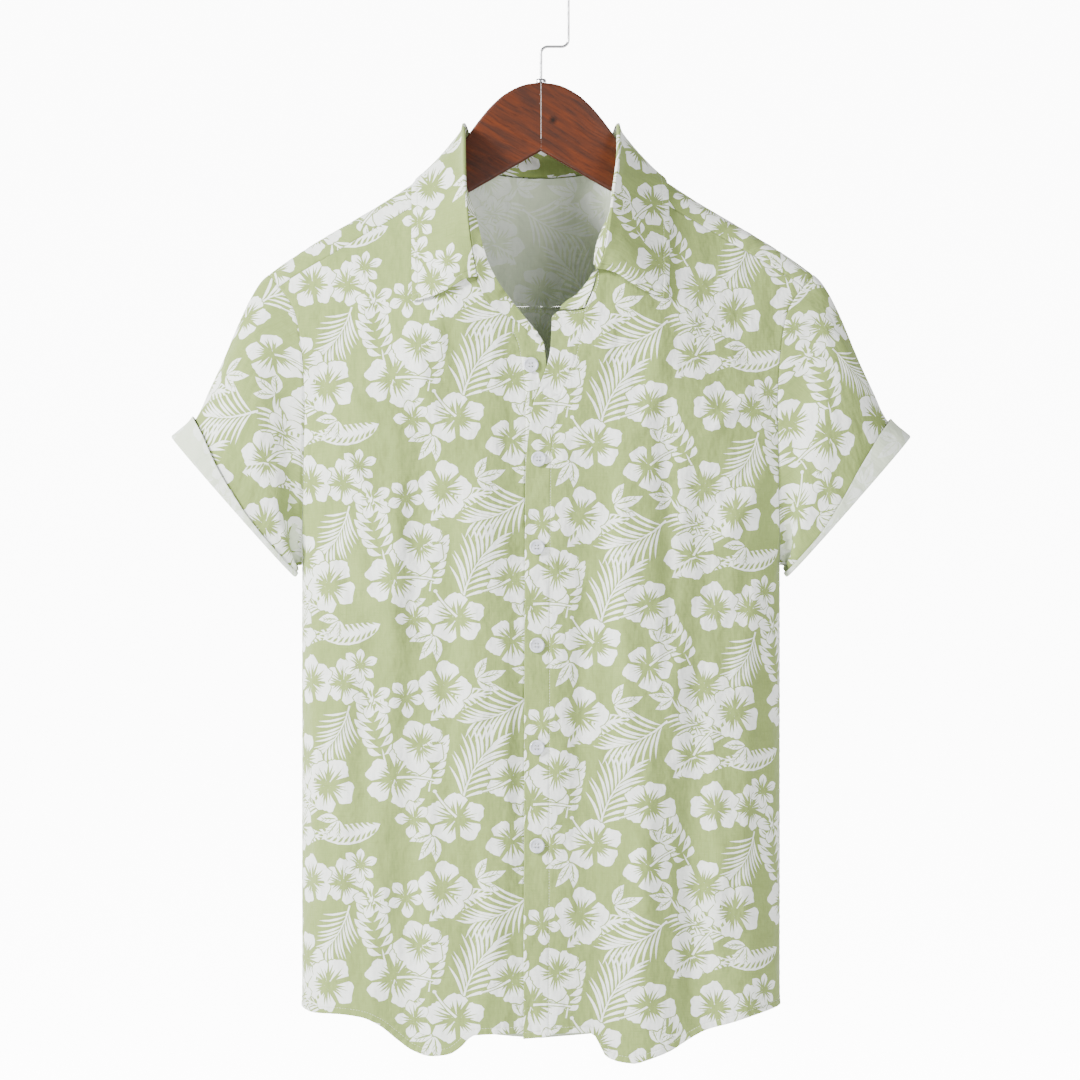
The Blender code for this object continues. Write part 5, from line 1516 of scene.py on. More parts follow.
def wood_material():
    """Stained hardwood under lacquer. Its grain runs along the arm, bent a little by noise, and one
    dark knot lies in it.
    """
    material, tree, shader = new_material("stained_wood")
    place = object_place(tree)
    warp = add_node(tree, "ShaderNodeTexNoise", {"Scale": 16.0, "Detail": 2.0})
    tree.links.new(place, warp.inputs["Vector"])
    bent = add_node(tree, "ShaderNodeVectorMath", operation="MULTIPLY_ADD")
    bent.inputs[1].default_value = (0.010, 0.010, 0.010)
    tree.links.new(warp.outputs["Color"], bent.inputs[0])
    tree.links.new(place, bent.inputs[2])
    turned = add_node(tree, "ShaderNodeMapping", {"Rotation": (0.0, -0.55, 0.0)})
    tree.links.new(bent.outputs["Vector"], turned.inputs["Vector"])
    grain = scaled_noise(tree, turned.outputs["Vector"], 60.0, 6.0, (0.35, 3.0, 3.0))
    pores = scaled_noise(tree, turned.outputs["Vector"], 260.0, 3.0, (0.12, 3.0, 3.0))
    away = add_node(tree, "ShaderNodeVectorMath", operation="DISTANCE")
    away.inputs[1].default_value = KNOT_PLACE
    tree.links.new(place, away.inputs[0])
    knot = ranged(tree, away.outputs["Value"], 1.0, 0.0, 0.001, 0.005)
    banded = ranged(tree, grain, 0.0, 1.0)
    colour = mixed(tree, banded, (0.100, 0.022, 0.006), (0.036, 0.008, 0.002))
    porous = ranged(tree, pores, 0.0, 0.6, 0.5, 0.72)
    colour = mixed(tree, porous, colour, (0.014, 0.004, 0.002))
    colour = mixed(tree, knot, colour, (0.010, 0.004, 0.002))
    tree.links.new(colour, shader.inputs["Base Color"])
    tree.links.new(ranged(tree, grain, 0.32, 0.46), shader.inputs["Roughness"])
    shader.inputs["Specular IOR Level"].default_value = 0.35
    bumped(tree, shader, ((pores, 0.00012),))
    return material


def chrome_material():
    material, tree, shader = new_material("chrome_wire")
    scratches = scaled_noise(tree, object_place(tree), 700.0, 3.0, (1.0, 1.0, 0.2))
    shade = mixed(tree, ranged(tree, scratches, 0.0, 1.0), (0.62, 0.62, 0.63), (0.46, 0.46, 0.47))
    tree.links.new(shade, shader.inputs["Base Color"])
    tree.links.new(ranged(tree, scratches, 0.16, 0.3), shader.inputs["Roughness"])
    shader.inputs["Metallic"].default_value = 1.0
    bumped(tree, shader, ((scratches, 0.00003),))
    return material


# ------------------------------------------------------------------ objects
def add_object(name, data, *materials):
    thing = bpy.data.objects.new(name, data)
    bpy.context.scene.collection.objects.link(thing)
    for material in materials:
        data.materials.append(material)
    return thing


def mesh_of(name, points, faces):
    mesh = bpy.data.meshes.new(name)
    mesh.from_pydata([tuple(point) for point in np.asarray(points) * MM], [], faces)
    return mesh


def solid_of(name, points, faces):
    """A closed mesh whose faces all look outwards."""
    mesh = mesh_of(name, points, faces)
    shape = bmesh.new()
    shape.from_mesh(mesh)
    bmesh.ops.recalc_face_normals(shape, faces=shape.faces)
    shape.to_mesh(mesh)
    shape.free()
    return mesh


def declare(piece, slot, *nodes):
    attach(piece, "root")
    if nodes:
        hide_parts(*nodes)


BEAD = [(0.0, 0.0), (0.22, 1.0), (0.78, 1.0), (1.0, 0.0)]  # a stitch: how far along, how thick


class Stitching:
    """Stitches gathered into one mesh."""

    def __init__(self):
        self.points, self.faces = [], []

    def bead(self, start, end, up, half_width, height):
        along = end - start
        side = unit(np.cross(along, up)) * half_width
        first = len(self.points)
        self.points.append(start)
        for share, thick in BEAD[1:3]:
            middle = start + along * share
            for way in (side, up * height, -side, -up * height * 0.4):
                self.points.append(middle + way * thick)
        self.points.append(end)
        for k in range(4):
            a, b = first + 1 + k, first + 1 + (k + 1) % 4
            self.faces += [(first, b, a), (a, b, b + 4, a + 4), (a + 4, b + 4, first + 9)]

    def row(self, cloth, line, inside=False, pitch=2.7, length=2.1, width=0.26, height=0.22):
        """Stitches along a line of the flat cloth."""
        at = thinned(line, pitch)
        places, normals = cloth.surface(at)
        if inside:
            places, normals = places - normals * CLOTH, -normals
        for k in range(len(at) - 1):
            way = (places[k + 1] - places[k]) * length / pitch
            if np.linalg.norm(way) < pitch * 1.5:
                lift = normals[k] * height * 0.25
                self.bead(places[k] + lift, places[k] + way + lift, normals[k], width, height)

    def zigzag(self, cloth, line, inside=False, reach=2.2, pitch=1.5, width=0.2, height=0.25):
        """An overlocked edge: bars across the line, joined by slanting threads."""
        at = thinned(line, pitch)
        across = offset_line(at, reach, cloth.middle)
        low, normals = cloth.surface(at)
        high, _ = cloth.surface(across)
        if inside:
            low, high, normals = low - normals * CLOTH, high - normals * CLOTH, -normals
        for k in range(len(at) - 1):
            lift = normals[k] * height * 0.8
            self.bead(low[k] + lift, high[k] + lift, normals[k], width, height)
            self.bead(high[k] + lift, low[k + 1] + lift, normals[k], width, height)

    def piece(self, name, material):
        mesh = mesh_of(name, self.points, self.faces)
        mesh.shade_smooth()
        piece = add_object(name, mesh, material)
        declare(piece, "printed_cotton")
        return piece


# ------------------------------------------------------------------ buttons
ButtonRing = namedtuple("ButtonRing", "radius height")
BUTTON_PROFILE = rows_of(ButtonRing, [
    (0.0, 0.0), (0.60, 0.0), (0.80, 0.10), (0.94, 0.32), (0.985, 0.46), (1.0, 0.62), (0.985, 0.78),
    (0.94, 0.92), (0.87, 1.0), (0.79, 0.98), (0.72, 0.84), (0.64, 0.74), (0.40, 0.68), (0.0, 0.67),
])
BUTTON_SIDES = 48
HOLE_OFF, HOLE_RADIUS = 1.35, 0.75
# What is cut out for one hole: (radius, height) up through the button, wider at its face
HOLE_PIN = [(0.0, -1.0), (HOLE_RADIUS, -1.0), (HOLE_RADIUS, 1.35), (1.3, 2.2), (0.0, 2.2)]
HOLE_SIDES = 16
THREAD_LIFT = 1.75  # of the threads over the cloth
THREAD_OVERLAP = 0.4  # how far a thread runs on past its two holes
THREAD_HALF_GAP = 0.22  # between the two threads of a pair


def turned(rings, sides, centre=(0.0, 0.0)):
    """Points and faces of a solid turned about +Z, from rings of (radius, height)."""
    points, loops, faces = [], [], []
    for radius, height in rings:
        loop = []
        for k in range(sides if radius > 0 else 1):
            angle = 2 * math.pi * k / sides
            loop.append(len(points))
            points.append((
                centre[0] + radius * math.cos(angle), centre[1] + radius * math.sin(angle), height,
            ))
        loops.append(loop)
    for first, second in zip(loops, loops[1:]):
        for k in range(sides):
            a, b = first[k % len(first)], first[(k + 1) % len(first)]
            c, d = second[(k + 1) % len(second)], second[k % len(second)]
            faces.append(tuple(dict.fromkeys((a, b, c, d))))
    return points, faces


def button_mesh():
    """A turned button with four holes through it."""
    rings = [(ring.radius * BUTTON_RADIUS, ring.height * BUTTON_HEIGHT) for ring in BUTTON_PROFILE]
    blank = add_object("button_blank", solid_of("button_blank", *turned(rings, BUTTON_SIDES)))
    points, faces = [], []
    for x in (-HOLE_OFF, HOLE_OFF):
        for y in (-HOLE_OFF, HOLE_OFF):
            some, corners = turned(HOLE_PIN, HOLE_SIDES, (x, y))
            faces += [tuple(corner + len(points) for corner in face) for face in corners]
            points += some
    cutter = add_object("button_cutter", solid_of("button_cutter", points, faces))
    cut = blank.modifiers.new("holes", "BOOLEAN")
    cut.operation, cut.object, cut.solver = "DIFFERENCE", cutter, "EXACT"
    bpy.context.view_layer.update()
    shown = blank.evaluated_get(bpy.context.evaluated_depsgraph_get())
    mesh = bpy.data.meshes.new_from_object(shown)
    for thing in (blank, cutter):
        data = thing.data
        bpy.data.objects.remove(thing)
        bpy.data.meshes.remove(data)
    mesh.shade_smooth()
    return mesh


def face_axis(place):
    """The way out of the front's face at a place."""
    step = 3.0
    slopes = [
        body_y(place.x + dx, place.z + dz, FRONT) - body_y(place.x - dx, place.z - dz, FRONT)
        for dx, dz in ((step, 0.0), (0.0, step))
    ]
    return unit(np.array([slopes[0] / (2 * step), -1.0, slopes[1] / (2 * step)]))


def add_buttons(resin, thread):
    shape = button_mesh()
    threads = Stitching()
    for number, place in enumerate(BUTTONS, start=1):
        sink = float(under_sink(place.x)) if number == 1 else 0.0
        here = np.array([place.x, float(body_y(place.x, place.z, FRONT)) + sink, place.z])
        axis = face_axis(place)
        button = add_object(f"button_{number}_turned", shape.copy(), resin)
        button.location = (here + axis * LAYER_GAP) * MM
        turn = Vector(axis).to_track_quat("Z", "Y")
        button.rotation_euler = turn.to_euler()
        declare(button, "button_resin", f"button_{number}")
        right, up = (np.array(turn @ Vector(way)) for way in ((1, 0, 0), (0, 1, 0)))
        for x in (-HOLE_OFF, HOLE_OFF):
            low, high = (
                here + axis * THREAD_LIFT + right * x + up * y
                for y in (-HOLE_OFF - THREAD_OVERLAP, HOLE_OFF + THREAD_OVERLAP)
            )
            for off in (-THREAD_HALF_GAP, THREAD_HALF_GAP):
                threads.bead(low + right * off, high + right * off, axis, 0.26, 0.5)
    return threads.piece("button_threads", thread)


# ------------------------------------------------------------------ hanger
def add_hanger_arm(name, hand, wood):
    """A flat board, rounded along its edges, under one shoulder."""
    top_at = curve_through(HANGER_TOP)
    bottom_at = curve_through(HANGER_BOTTOM)
    end_from = HANGER_REACH - ARM_END_LENGTH
    turn = np.radians(np.linspace(0, 86, 12))
    stations = list(np.linspace(0.03, 100, 41)) + list(np.linspace(104, end_from - 4, 20))
    stations += list(end_from + ARM_END_LENGTH * np.sin(turn))
    across, down = HANGER_BEVEL
    half = HANGER_HALF_THICKNESS
    round_at = np.radians([0, 18, 36, 54, 72, 90])
    corner = [(half - across * (1 - math.cos(a)), down * (1 - math.sin(a))) for a in round_at]
    outline = [(-y, 1, inset) for y, inset in corner]
    outline += [(y, 1, inset) for y, inset in corner[::-1]]
    outline += [(y, -1, inset) for y, inset in corner]
    outline += [(-y, -1, inset) for y, inset in corner[::-1]]
    sections = []
    for x in stations:
        on_arm = ridge_at(x)[0] - HANGER_UNDER_RIDGE
        top = top_at(x) if x < HANGER_TOP[-1].x else on_arm
        bottom = bottom_at(x)
        past = max(x - end_from, 0) / ARM_END_LENGTH
        round_off = math.sqrt(1 - min(past, 1) ** 2)
        middle = (top + bottom) / 2 - (1 - round_off) * 2
        reach = max((top - bottom) / 2 * round_off, down + 0.5)
        sections.append([(hand * x, y, middle + up * (reach - inset)) for y, up, inset in outline])
    points = np.array(sections).reshape(-1, 3)
    sides = len(outline)
    faces = [tuple(range(sides)), tuple(range(len(points) - sides, len(points)))[::-1]]
    for k in range(len(sections) - 1):
        for j in range(sides):
            a, b = k * sides + j, k * sides + (j + 1) % sides
            faces.append((b, a, a + sides, b + sides))
    mesh = solid_of(f"{name}_board", points, faces)
    mesh.shade_smooth()
    mesh.set_sharp_from_angle(angle=math.radians(50))
    declare(add_object(f"{name}_board", mesh, wood), "stained_wood", name)


def bend(corner, before, after, radius, steps=14):
    """Points round a bend of this radius at a corner between two directions."""
    corner, before, after = np.array(corner), unit(np.array(before)), unit(np.array(after))
    angle = math.acos(float(np.clip(np.dot(before, after), -1, 1)))
    start = corner - before * radius * math.tan(angle / 2)
    centre_way = unit(after - before * np.dot(before, after))
    centre = start + centre_way * radius
    turns = angle * np.linspace(0, 1, steps + 1)
    return [
        centre - centre_way * radius * math.cos(turn) + before * radius * math.sin(turn)
        for turn in turns
    ]


def add_hook(chrome):
    """Wire from the ferrule up, across in a crank, up again and round the hook."""
    up, right = (0.0, 0.0, 1.0), (1.0, 0.0, 0.0)
    centre_z = HOOK_WIRE_RADIUS - HOOK_RADIUS
    route = [np.array([0.0, 0.0, HANGER_TOP[0].z + CAD_SEAM_GAP])]
    route += bend((0.0, 0.0, CRANK_Z), up, right, CRANK_BEND)
    route += bend((HOOK_RADIUS, 0.0, CRANK_Z), right, up, CRANK_BEND)
    for angle in np.linspace(0, math.pi, 49):
        spoke = np.array([math.cos(angle), 0.0, math.sin(angle)])
        route.append(np.array([0.0, 0.0, centre_z]) + spoke * HOOK_RADIUS)
    route.append(np.array([-HOOK_RADIUS, 0.0, centre_z - HOOK_TIP_DROP]))
    curve = bpy.data.curves.new("hook_wire", "CURVE")
    curve.dimensions = "3D"
    curve.bevel_depth = HOOK_WIRE_RADIUS * MM
    curve.bevel_resolution = 6
    curve.use_fill_caps = True
    spline = curve.splines.new("POLY")
    spline.points.add(len(route) - 1)
    for point, place in zip(spline.points, route):
        point.co = (*(place * MM), 1.0)
    spline.use_smooth = True
    declare(add_object("hook_wire", curve, chrome), "chrome_wire", "hanger_hook")


def add_ferrule(chrome):
    """A small washer round the wire, on top of the wood."""
    hole = HOOK_WIRE_RADIUS + FERRULE_CLEARANCE
    crown = hole + 0.8  # the inner edge of the rounded shoulder
    outline = [(hole, 0.0), (FERRULE_RADIUS, 0.0), (FERRULE_RADIUS, FERRULE_HEIGHT * 0.5)]
    for turn in np.radians([20, 40, 60, 80]):
        outline.append((
            crown + (FERRULE_RADIUS - crown) * math.cos(turn),
            FERRULE_HEIGHT * (0.5 + 0.5 * math.sin(turn)),
        ))
    outline.append((hole, FERRULE_HEIGHT))
    points, faces = turned(outline, FERRULE_SIDES)
    last = len(points) - FERRULE_SIDES
    for k in range(FERRULE_SIDES):
        after = (k + 1) % FERRULE_SIDES
        faces.append((last + k, last + after, after, k))
    mesh = solid_of("ferrule_washer", points, faces)
    mesh.shade_smooth()
    mesh.set_sharp_from_angle(angle=math.radians(40))
    ferrule = add_object("ferrule_washer", mesh, chrome)
    ferrule.location = (0.0, 0.0, (HANGER_TOP[0].z + SEAM_GAP) * MM)
    declare(ferrule, "chrome_wire", "hanger_ferrule")


# ------------------------------------------------------------------ the shirt
Crease = namedtuple("Crease", "x0 y0 x1 y1 width height")  # on the flat cloth
CREASE_DEPTH = 1.7  # times the heights in the tables


def creased(creases):
    """Relief from soft creases, each between two places of the flat cloth."""

    def relief(points):
        total = np.zeros(len(points))
        for crease in creases:
            start = np.array([crease.x0, crease.y0])
            way = np.array([crease.x1, crease.y1]) - start
            share = np.clip((points - start) @ way / (way @ way), 0, 1)
            gap = np.linalg.norm(points - start - share[:, None] * way, axis=1)
            fading = np.sin(np.pi * np.clip(share, 0.02, 0.98)) ** 0.7
            total += CREASE_DEPTH * crease.height * fading * np.exp(-((gap / crease.width) ** 2))
        return total

    return relief


FOLD_ARC = np.radians([0, 30, 60, 90, 120, 150, 180])
STRIP_RADIUS = 0.95  # of the fold between a front and its turned-in edge


def with_facing(panel):
    """A front with its edge turned in behind it as far as the stitching and a little on."""
    strip = FACING_COLUMNS * FINE
    edge, beside = panel.face[:, -1], panel.face[:, -2]
    normal = panel.normals[:, -1]
    ahead = unit(edge - beside)
    ahead = unit(ahead - normal * np.sum(ahead * normal, axis=1, keepdims=True))
    face, normals, flat = (list(part.transpose(1, 0, 2)) for part in panel)
    flat_ahead = unit(panel.flat[:, -1] - panel.flat[:, -2])
    for turn in FOLD_ARC[1:]:
        out = ahead * math.sin(turn) + normal * math.cos(turn)
        face.append(edge - normal * STRIP_RADIUS + out * STRIP_RADIUS)
        normals.append(out)
        flat.append(panel.flat[:, -1] + flat_ahead * STRIP_RADIUS * turn)
    turned_flat = flat[-1]
    for back in range(2, strip + 2):
        here = panel.face[:, -back] - panel.normals[:, -back] * 2 * STRIP_RADIUS
        face.append(here)
        normals.append(-panel.normals[:, -back])
        run = np.linalg.norm(panel.flat[:, -back] - panel.flat[:, -1], axis=1)[:, None]
        flat.append(turned_flat + flat_ahead * run)
    return Panel(*(np.array(part).transpose(1, 0, 2) for part in (face, normals, flat)))


def placket_relief(panel, full, more):
    """The turned-in strip lifts the front's edge a little, up to the line of stitches."""
    strip = FACING_COLUMNS * FINE
    stitch = thinned(panel.flat[:, -1 - strip])
    edge = thinned(full.flat[:, panel.flat.shape[1] - 1])

    def relief(points):
        to_stitch, along = distance_to(points, stitch)
        to_edge, _ = distance_to(points, edge)
        on_strip = (to_edge < FACING_WIDTH + 8.0) & (to_stitch < FACING_WIDTH + 8.0)
        inner = np.abs(to_edge + to_stitch - FACING_WIDTH) < 1.5
        pucker = np.sin(along * 0.5) + 0.6 * np.sin(along * 0.23 + 1.0)
        pucker = pucker + 0.5 * np.sin(along * 0.9)
        total = np.where(on_strip, groove(to_stitch, 0.0, 0.35, 0.9), 0.0)
        total += 0.25 * np.where(inner, smooth_step(to_stitch / 2.5), 0.0)
        total += 0.28 * pucker * np.exp(-to_stitch / 7.0) * smooth_step(to_edge / 3.0)
        return total + more(points)

    return relief


def beside(line, offsets, middle):
    return [line if off == 0 else offset_line(line, off, middle) for off in offsets]


FRONT_UNDER_CREASES = rows_of(Crease, [
    (-196, -420, -150, -470, 7, 1.6), (-205, -470, -140, -560, 9, 2.0),
    (-215, -540, -165, -660, 10, -1.8), (-120, -380, -96, -470, 9, 1.4),
    (-92, -350, -70, -440, 8, -1.2), (-160, -620, -120, -700, 12, 1.4),
    (-60, -560, -20, -600, 7, 0.9), (-70, -760, -24, -730, 8, -1.0),
    (-180, -800, -150, -930, 13, 1.6), (-95, -860, -40, -880, 9, 0.9),
    (-136, -440, -142, -760, 11, 2.2), (-84, -500, -92, -860, 10, -2.0),
    (-168, -660, -176, -1000, 12, -2.4), (-36, -620, -30, -940, 9, 1.5),
    (-112, -760, -104, -1040, 12, 2.4), (-62, -820, -70, -1030, 10, -1.8),
    (-222, -640, -214, -960, 9, 1.8),
])
FRONT_OVER_CREASES = rows_of(Crease, [
    (205, -430, 150, -480, 7, 1.6), (222, -500, 160, -600, 9, 1.9),
    (215, -570, 178, -680, 10, -1.6), (118, -370, 96, -480, 9, 1.3), (80, -360, 60, -450, 8, -1.2),
    (58, -520, 14, -490, 7, 0.9), (50, -610, 6, -584, 7, -0.9), (140, -640, 120, -760, 12, 1.5),
    (60, -800, 10, -772, 8, 0.9), (190, -830, 160, -950, 13, 1.6), (70, -930, 30, -960, 9, -0.9),
    (76, -460, 84, -800, 10, 2.0), (118, -420, 128, -700, 11, -2.2),
    (164, -640, 172, -1000, 12, 2.4), (42, -560, 36, -860, 9, -1.5),
    (102, -760, 96, -1040, 11, 2.3), (140, -800, 146, -1030, 10, -2.0),
    (218, -640, 210, -960, 9, -1.8),
])
BACK_CREASES = rows_of(Crease, [
    (-190, -430, -130, -520, 9, 1.6), (190, -430, 125, -530, 9, 1.6),
    (-205, -560, -150, -680, 11, -1.6), (205, -560, 150, -690, 11, -1.6),
    (-60, -520, -20, -680, 12, 1.2), (70, -620, 40, -780, 12, -1.3),
    (-120, -800, -90, -960, 13, 1.4), (140, -820, 110, -970, 13, 1.4),
])
SLEEVE_CREASES = rows_of(Crease, [
    (-150, -60, -60, -20, 8, 1.2), (-235, -70, -110, -66, 8, 1.5), (-215, -36, -120, -46, 6, -1.2),
    (235, -60, 120, -62, 8, 1.6), (215, -30, 130, -44, 6, -1.2), (150, -80, 70, -40, 8, 1.2),
])
PRINT_SHIFTS = {  # where each piece of cloth was cut out of the printed length
    "front_under": (40.0, 22.0),
    "front_over": (171.0, -48.0),
    "back": (96.0, 66.0),
    "yoke": (12.0, 140.0),
    "sleeve_left": (70.0, 31.0),
    "sleeve_right": (205.0, 88.0),
    "cuff_left": (0.0, 0.0),
    "cuff_right": (90.0, 60.0),
    "collar_stand": (30.0, 10.0),
    "collar_leaf": (118.0, 52.0),
}


def round_strip_flat(grid, row):
    """A band laid flat by the lengths along one of its rows and down its columns."""
    steps = np.linalg.norm(np.diff(grid[row], axis=0), axis=1)
    along = np.concatenate([[0.0], np.cumsum(steps)])
    steps = np.linalg.norm(np.diff(grid, axis=0), axis=2)
    down = np.vstack([np.zeros(grid.shape[1]), np.cumsum(steps, axis=0)])
    return np.stack([np.broadcast_to(along, down.shape), -down], axis=-1)


def declare_sheet(cloth):
    size, area = cut_size(cloth)
    min(area, size[0] * size[1])


def no_print(outline):
    """No shape of the print is seen on this piece's wrong side."""
    return False


NECK_VIEW_Z, NECK_VIEW_HALF = -500, 110  # what the neck opening shows of the back's wrong side


def seen_through_neck(outline):
    """Whether a shape of the back lies where the neck opening shows its wrong side."""
    return outline[:, 1].max() > NECK_VIEW_Z and np.abs(outline[:, 0]).min() < NECK_VIEW_HALF


def build_shirt(printed, wrong_side, thread):
    """Every piece of cloth and its stitches, from the two materials of each of its sides."""
    no_sink = np.zeros_like
    under = front_grid(
        RIGHT, UNDER_NECK, UNDER_NECK_FACING, under_edge_at, under_hem_at, under_sink
    )
    over = front_grid(LEFT, OVER_NECK, OVER_NECK_FACING, over_edge_at, over_hem_at, no_sink)
    back, yoke = back_grid(), yoke_grid()
    stitching = Stitching()
    arms = ["hanger_arm_left", "hanger_arm_right"]

    def add(name, panel, edges, materials, held, rests_on, nodes=(), inside=None, **more):
        cloth = Cloth(name, panel, edges, PRINT_SHIFTS[name], **more)
        piece = sew(cloth, materials, inside)
        slot = "cloth_wrong_side" if name.startswith("cuff") else "printed_cotton"
        declare(piece, slot, name, *nodes)
        declare_sheet(cloth)
        return cloth

    for name, panel, hand, creases in (
        ("front_under", under, RIGHT, FRONT_UNDER_CREASES),
        ("front_over", over, LEFT, FRONT_OVER_CREASES),
    ):
        full = with_facing(panel)
        edge = panel.flat.shape[1] - 1
        stitch = thinned(panel.flat[:, -1 - FACING_COLUMNS * FINE])
        lines = [thinned(full.flat[:, edge + k]) for k in range(len(FOLD_ARC))]
        lines += beside(stitch, (-2.0, -1.0, -0.5, 0, 0.5, 1.0, 2.0), full.flat[20, 0])
        relief = placket_relief(panel, full, creased(creases))
        cloth = add(
            name, full, {"top": SEAM, "low": HEM, "first": SEAM}, printed + printed, "hung", "yoke",
            nodes=[f"placket_{name[6:]}"], inside=no_print, lines=lines, relief=relief,
        )
        stitching.row(cloth, stitch)
        hem = offset_line(thinned(panel.flat[-1]), HEM_WIDTH, cloth.middle)
        stitching.row(cloth, hem)
        stitching.row(cloth, hem, inside=True)
        neck = panel.flat[0, (SEAM_COLUMNS - 1) * FINE :]
        if hand == LEFT:
            line = offset_line(thinned(neck), 2.2, cloth.middle)
            stitching.row(cloth, line, height=0.35, width=0.4)

    cloth = add(
        "back", back, {"top": SEAM, "low": HEM, "first": SEAM, "last": SEAM},
        printed + wrong_side, "hung", "yoke",
        inside=seen_through_neck, relief=creased(BACK_CREASES),
    )
    hem = offset_line(thinned(back.flat[-1]), HEM_WIDTH, cloth.middle)
    stitching.row(cloth, hem)
    stitching.row(cloth, hem, inside=True)
    stitching.zigzag(cloth, offset_line(thinned(back.flat[0]), 1.2, cloth.middle), inside=True)

    cloth = add(
        "yoke", yoke, {"top": SEAM, "low": SEAM, "first": SEAM, "last": SEAM},
        printed + wrong_side, "draped", arms,
    )
    stitching.row(cloth, offset_line(thinned(yoke.flat[-1]), 2.5, cloth.middle))

    for hand, side, front in ((RIGHT, "right", under), (LEFT, "left", over)):
        inside = hand * SLEEVE_INSIDE_X, 0, SLEEVE_INSIDE_Z
        ring, ring_normals, run, sideways = armhole_ring(hand, yoke, front, back)
        tube = sleeve_grid(hand, ring, run)
        normals = outward(tube, inside)
        normals[0] = unit(ring_normals * (1 - sideways) + normals[0] * sideways)
        sleeve = Panel(tube, normals, strip_flat(tube))
        creases = [
            crease._replace(x0=-hand * crease.x0, x1=-hand * crease.x1)
            for crease in SLEEVE_CREASES
        ]
        add(
            f"sleeve_{side}", sleeve, {"top": SEAM, "low": FOLD, "first": SEAM, "last": SEAM},
            printed + wrong_side, "hung", ["yoke", f"front_{'over' if hand == LEFT else 'under'}"],
            inside=no_print, relief=creased(creases),
        )
        shares = round_shares(ring)[0]
        # The cuffs are turned over, so the cloth's wrong side is their outer face
        grid = cuff_grid(tube, normals, shares, hand)
        cuff = Panel(grid, outward_band(grid, tube), round_strip_flat(grid, CUFF_STEPS))
        add(
            f"cuff_{side}", cuff, {"top": FOLD, "low": FOLD}, wrong_side + printed, "folded",
            f"sleeve_{side}",
            lines=[thinned(cuff.flat[CUFF_STEPS + k]) for k in range(len(CUFF_TURN) + 1)],
        )

    stand, stand_normals, leaf, leaf_normals = collar_grids(under, over, yoke)
    add(
        "collar_stand", Panel(stand, stand_normals, strip_flat(stand)), {"top": SEAM, "low": FOLD},
        printed + printed, "folded", ["front_over", "front_under", "yoke"],
    )
    leaf = Panel(leaf, leaf_normals, strip_flat(leaf))
    cloth = add(
        "collar_leaf", leaf, {"top": FOLD, "low": STITCHED, "first": STITCHED, "last": STITCHED},
        printed + printed, "folded", "collar_stand",
        lines=[thinned(leaf.flat[row]) for row in range(1, 6)],
    )
    for line in (leaf.flat[-1], leaf.flat[8:, 0], leaf.flat[8:, -1]):
        stitching.row(cloth, offset_line(thinned(line), LEAF_STITCH, cloth.middle))
    stitching.piece("stitching", thread)


def outward_band(grid, tube):
    """Normals of a cuff, which look away from the sleeve's wall on both of its sides."""
    normals = face_normals(grid)
    centre = tube[-1].mean(axis=0)
    away = np.sum(normals[0] * (grid[0] - centre))
    return normals if away > 0 else -normals


# ------------------------------------------------------------------ stage
FLOOR_Z = -1.9
BACKDROP_Y = 6  # behind every camera that looks at the shirt from the back
AIM = (0, 0, -0.6)
Light = namedtuple("Light", "name place size power")
LIGHTS = [
    Light("key", (-2.5, -1.5, 0.7), 0.7, 300.0),
    Light("fill", (1.7, -2.6, 0.2), 1.2, 62.0),
    Light("back_right", (-2.3, 2.4, 0.5), 0.7, 120.0),
    Light("back_left", (2.3, 2.4, 0.5), 1.2, 25.0),
]
WORLD_STRENGTH = 0.45
BACKDROP_GLOW, FLOOR_GLOW = 10.0, 0.7
CAMERA_PLACE, CAMERA_LENS = (-0.00095, -4.05, -0.5733), 140.35


def paper_material(name, glow):
    material, tree, shader = new_material(name)
    noise = scaled_noise(tree, object_place(tree), 3.0, 2.0)
    shade = mixed(tree, noise, (0.90, 0.90, 0.90), (0.88, 0.88, 0.88))
    tree.links.new(shade, shader.inputs["Base Color"])
    shader.inputs["Roughness"].default_value = 0.95
    shader.inputs["Emission Color"].default_value = (1.0, 1.0, 1.0, 1.0)
    shader.inputs["Emission Strength"].default_value = glow
    return material


def add_sheet_of_paper(name, glow, corners):
    mesh = bpy.data.meshes.new(name)
    mesh.from_pydata(corners, [], [(0, 1, 2, 3)])
    add_object(name, mesh, paper_material(f"{name}_paper", glow))


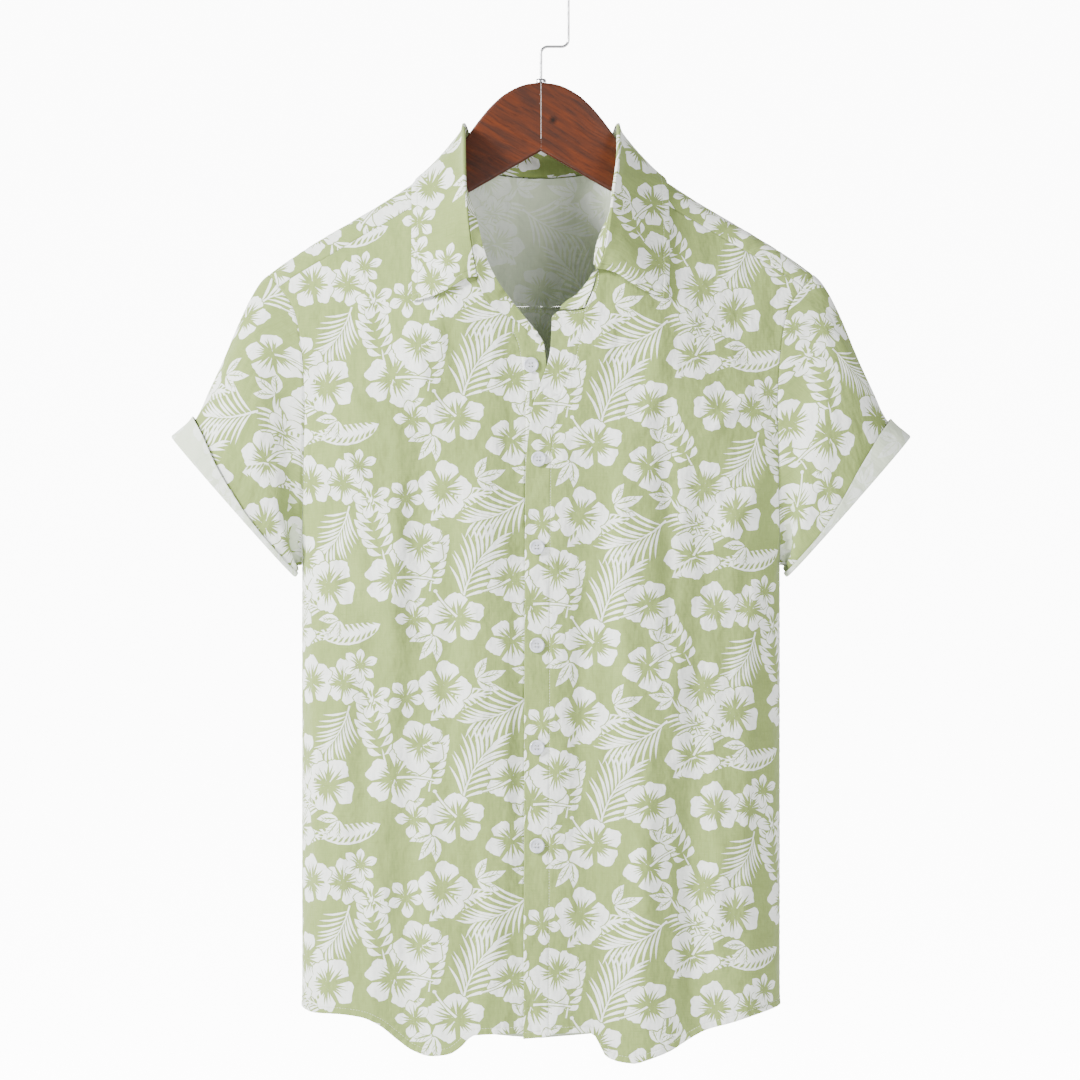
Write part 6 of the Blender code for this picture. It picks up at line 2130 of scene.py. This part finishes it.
def build_stage():
    z, y = FLOOR_Z, BACKDROP_Y
    add_sheet_of_paper("backdrop", BACKDROP_GLOW, [(-2, y, z), (2, y, z), (2, y, 1), (-2, y, 1)])
    add_sheet_of_paper("floor", FLOOR_GLOW, [(-4, -6, z), (4, -6, z), (4, y, z), (-4, y, z)])
    world = bpy.data.worlds.new("studio")
    world.use_nodes = True
    background = world.node_tree.nodes["Background"]
    background.inputs["Color"].default_value = (1.0, 1.0, 1.0, 1.0)
    background.inputs["Strength"].default_value = WORLD_STRENGTH
    bpy.context.scene.world = world
    for light in LIGHTS:
        lamp = bpy.data.lights.new(light.name, "AREA")
        lamp.energy, lamp.size = light.power, light.size
        shown = add_object(light.name, lamp)
        shown.location = light.place
        way = Vector(AIM) - Vector(light.place)
        shown.rotation_euler = way.to_track_quat("-Z", "Y").to_euler()
    camera = bpy.data.cameras.new("camera")
    camera.sensor_width, camera.lens = 36.0, CAMERA_LENS
    eye = add_object("camera", camera)
    eye.location = CAMERA_PLACE
    eye.rotation_euler = (math.radians(90), 0.0, 0.0)
    bpy.context.scene.camera = eye


# ------------------------------------------------------------------ everything
TILE = tile()
ground = cotton("cotton_green", (0.262, 0.340, 0.104), (0.195, 0.258, 0.073))
ink = cotton("cotton_print", (0.88, 0.90, 0.87), (0.72, 0.75, 0.69))
ground_in = cotton("cotton_wrong_side", (0.66, 0.73, 0.57), (0.56, 0.63, 0.47))
ink_in = cotton("cotton_print_wrong_side", (0.78, 0.82, 0.76), (0.68, 0.73, 0.65))
pale_thread = thread_material("pale_thread", (0.66, 0.70, 0.52), (0.55, 0.60, 0.42))
white_thread = thread_material("white_thread", (0.80, 0.80, 0.78), (0.66, 0.66, 0.63))
build_shirt([ground, ink], [ground_in, ink_in], pale_thread)
add_buttons(resin_material(), white_thread)
wood, chrome = wood_material(), chrome_material()
add_hanger_arm("hanger_arm_right", RIGHT, wood)
add_hanger_arm("hanger_arm_left", LEFT, wood)
add_hook(chrome)
add_ferrule(chrome)
build_stage()
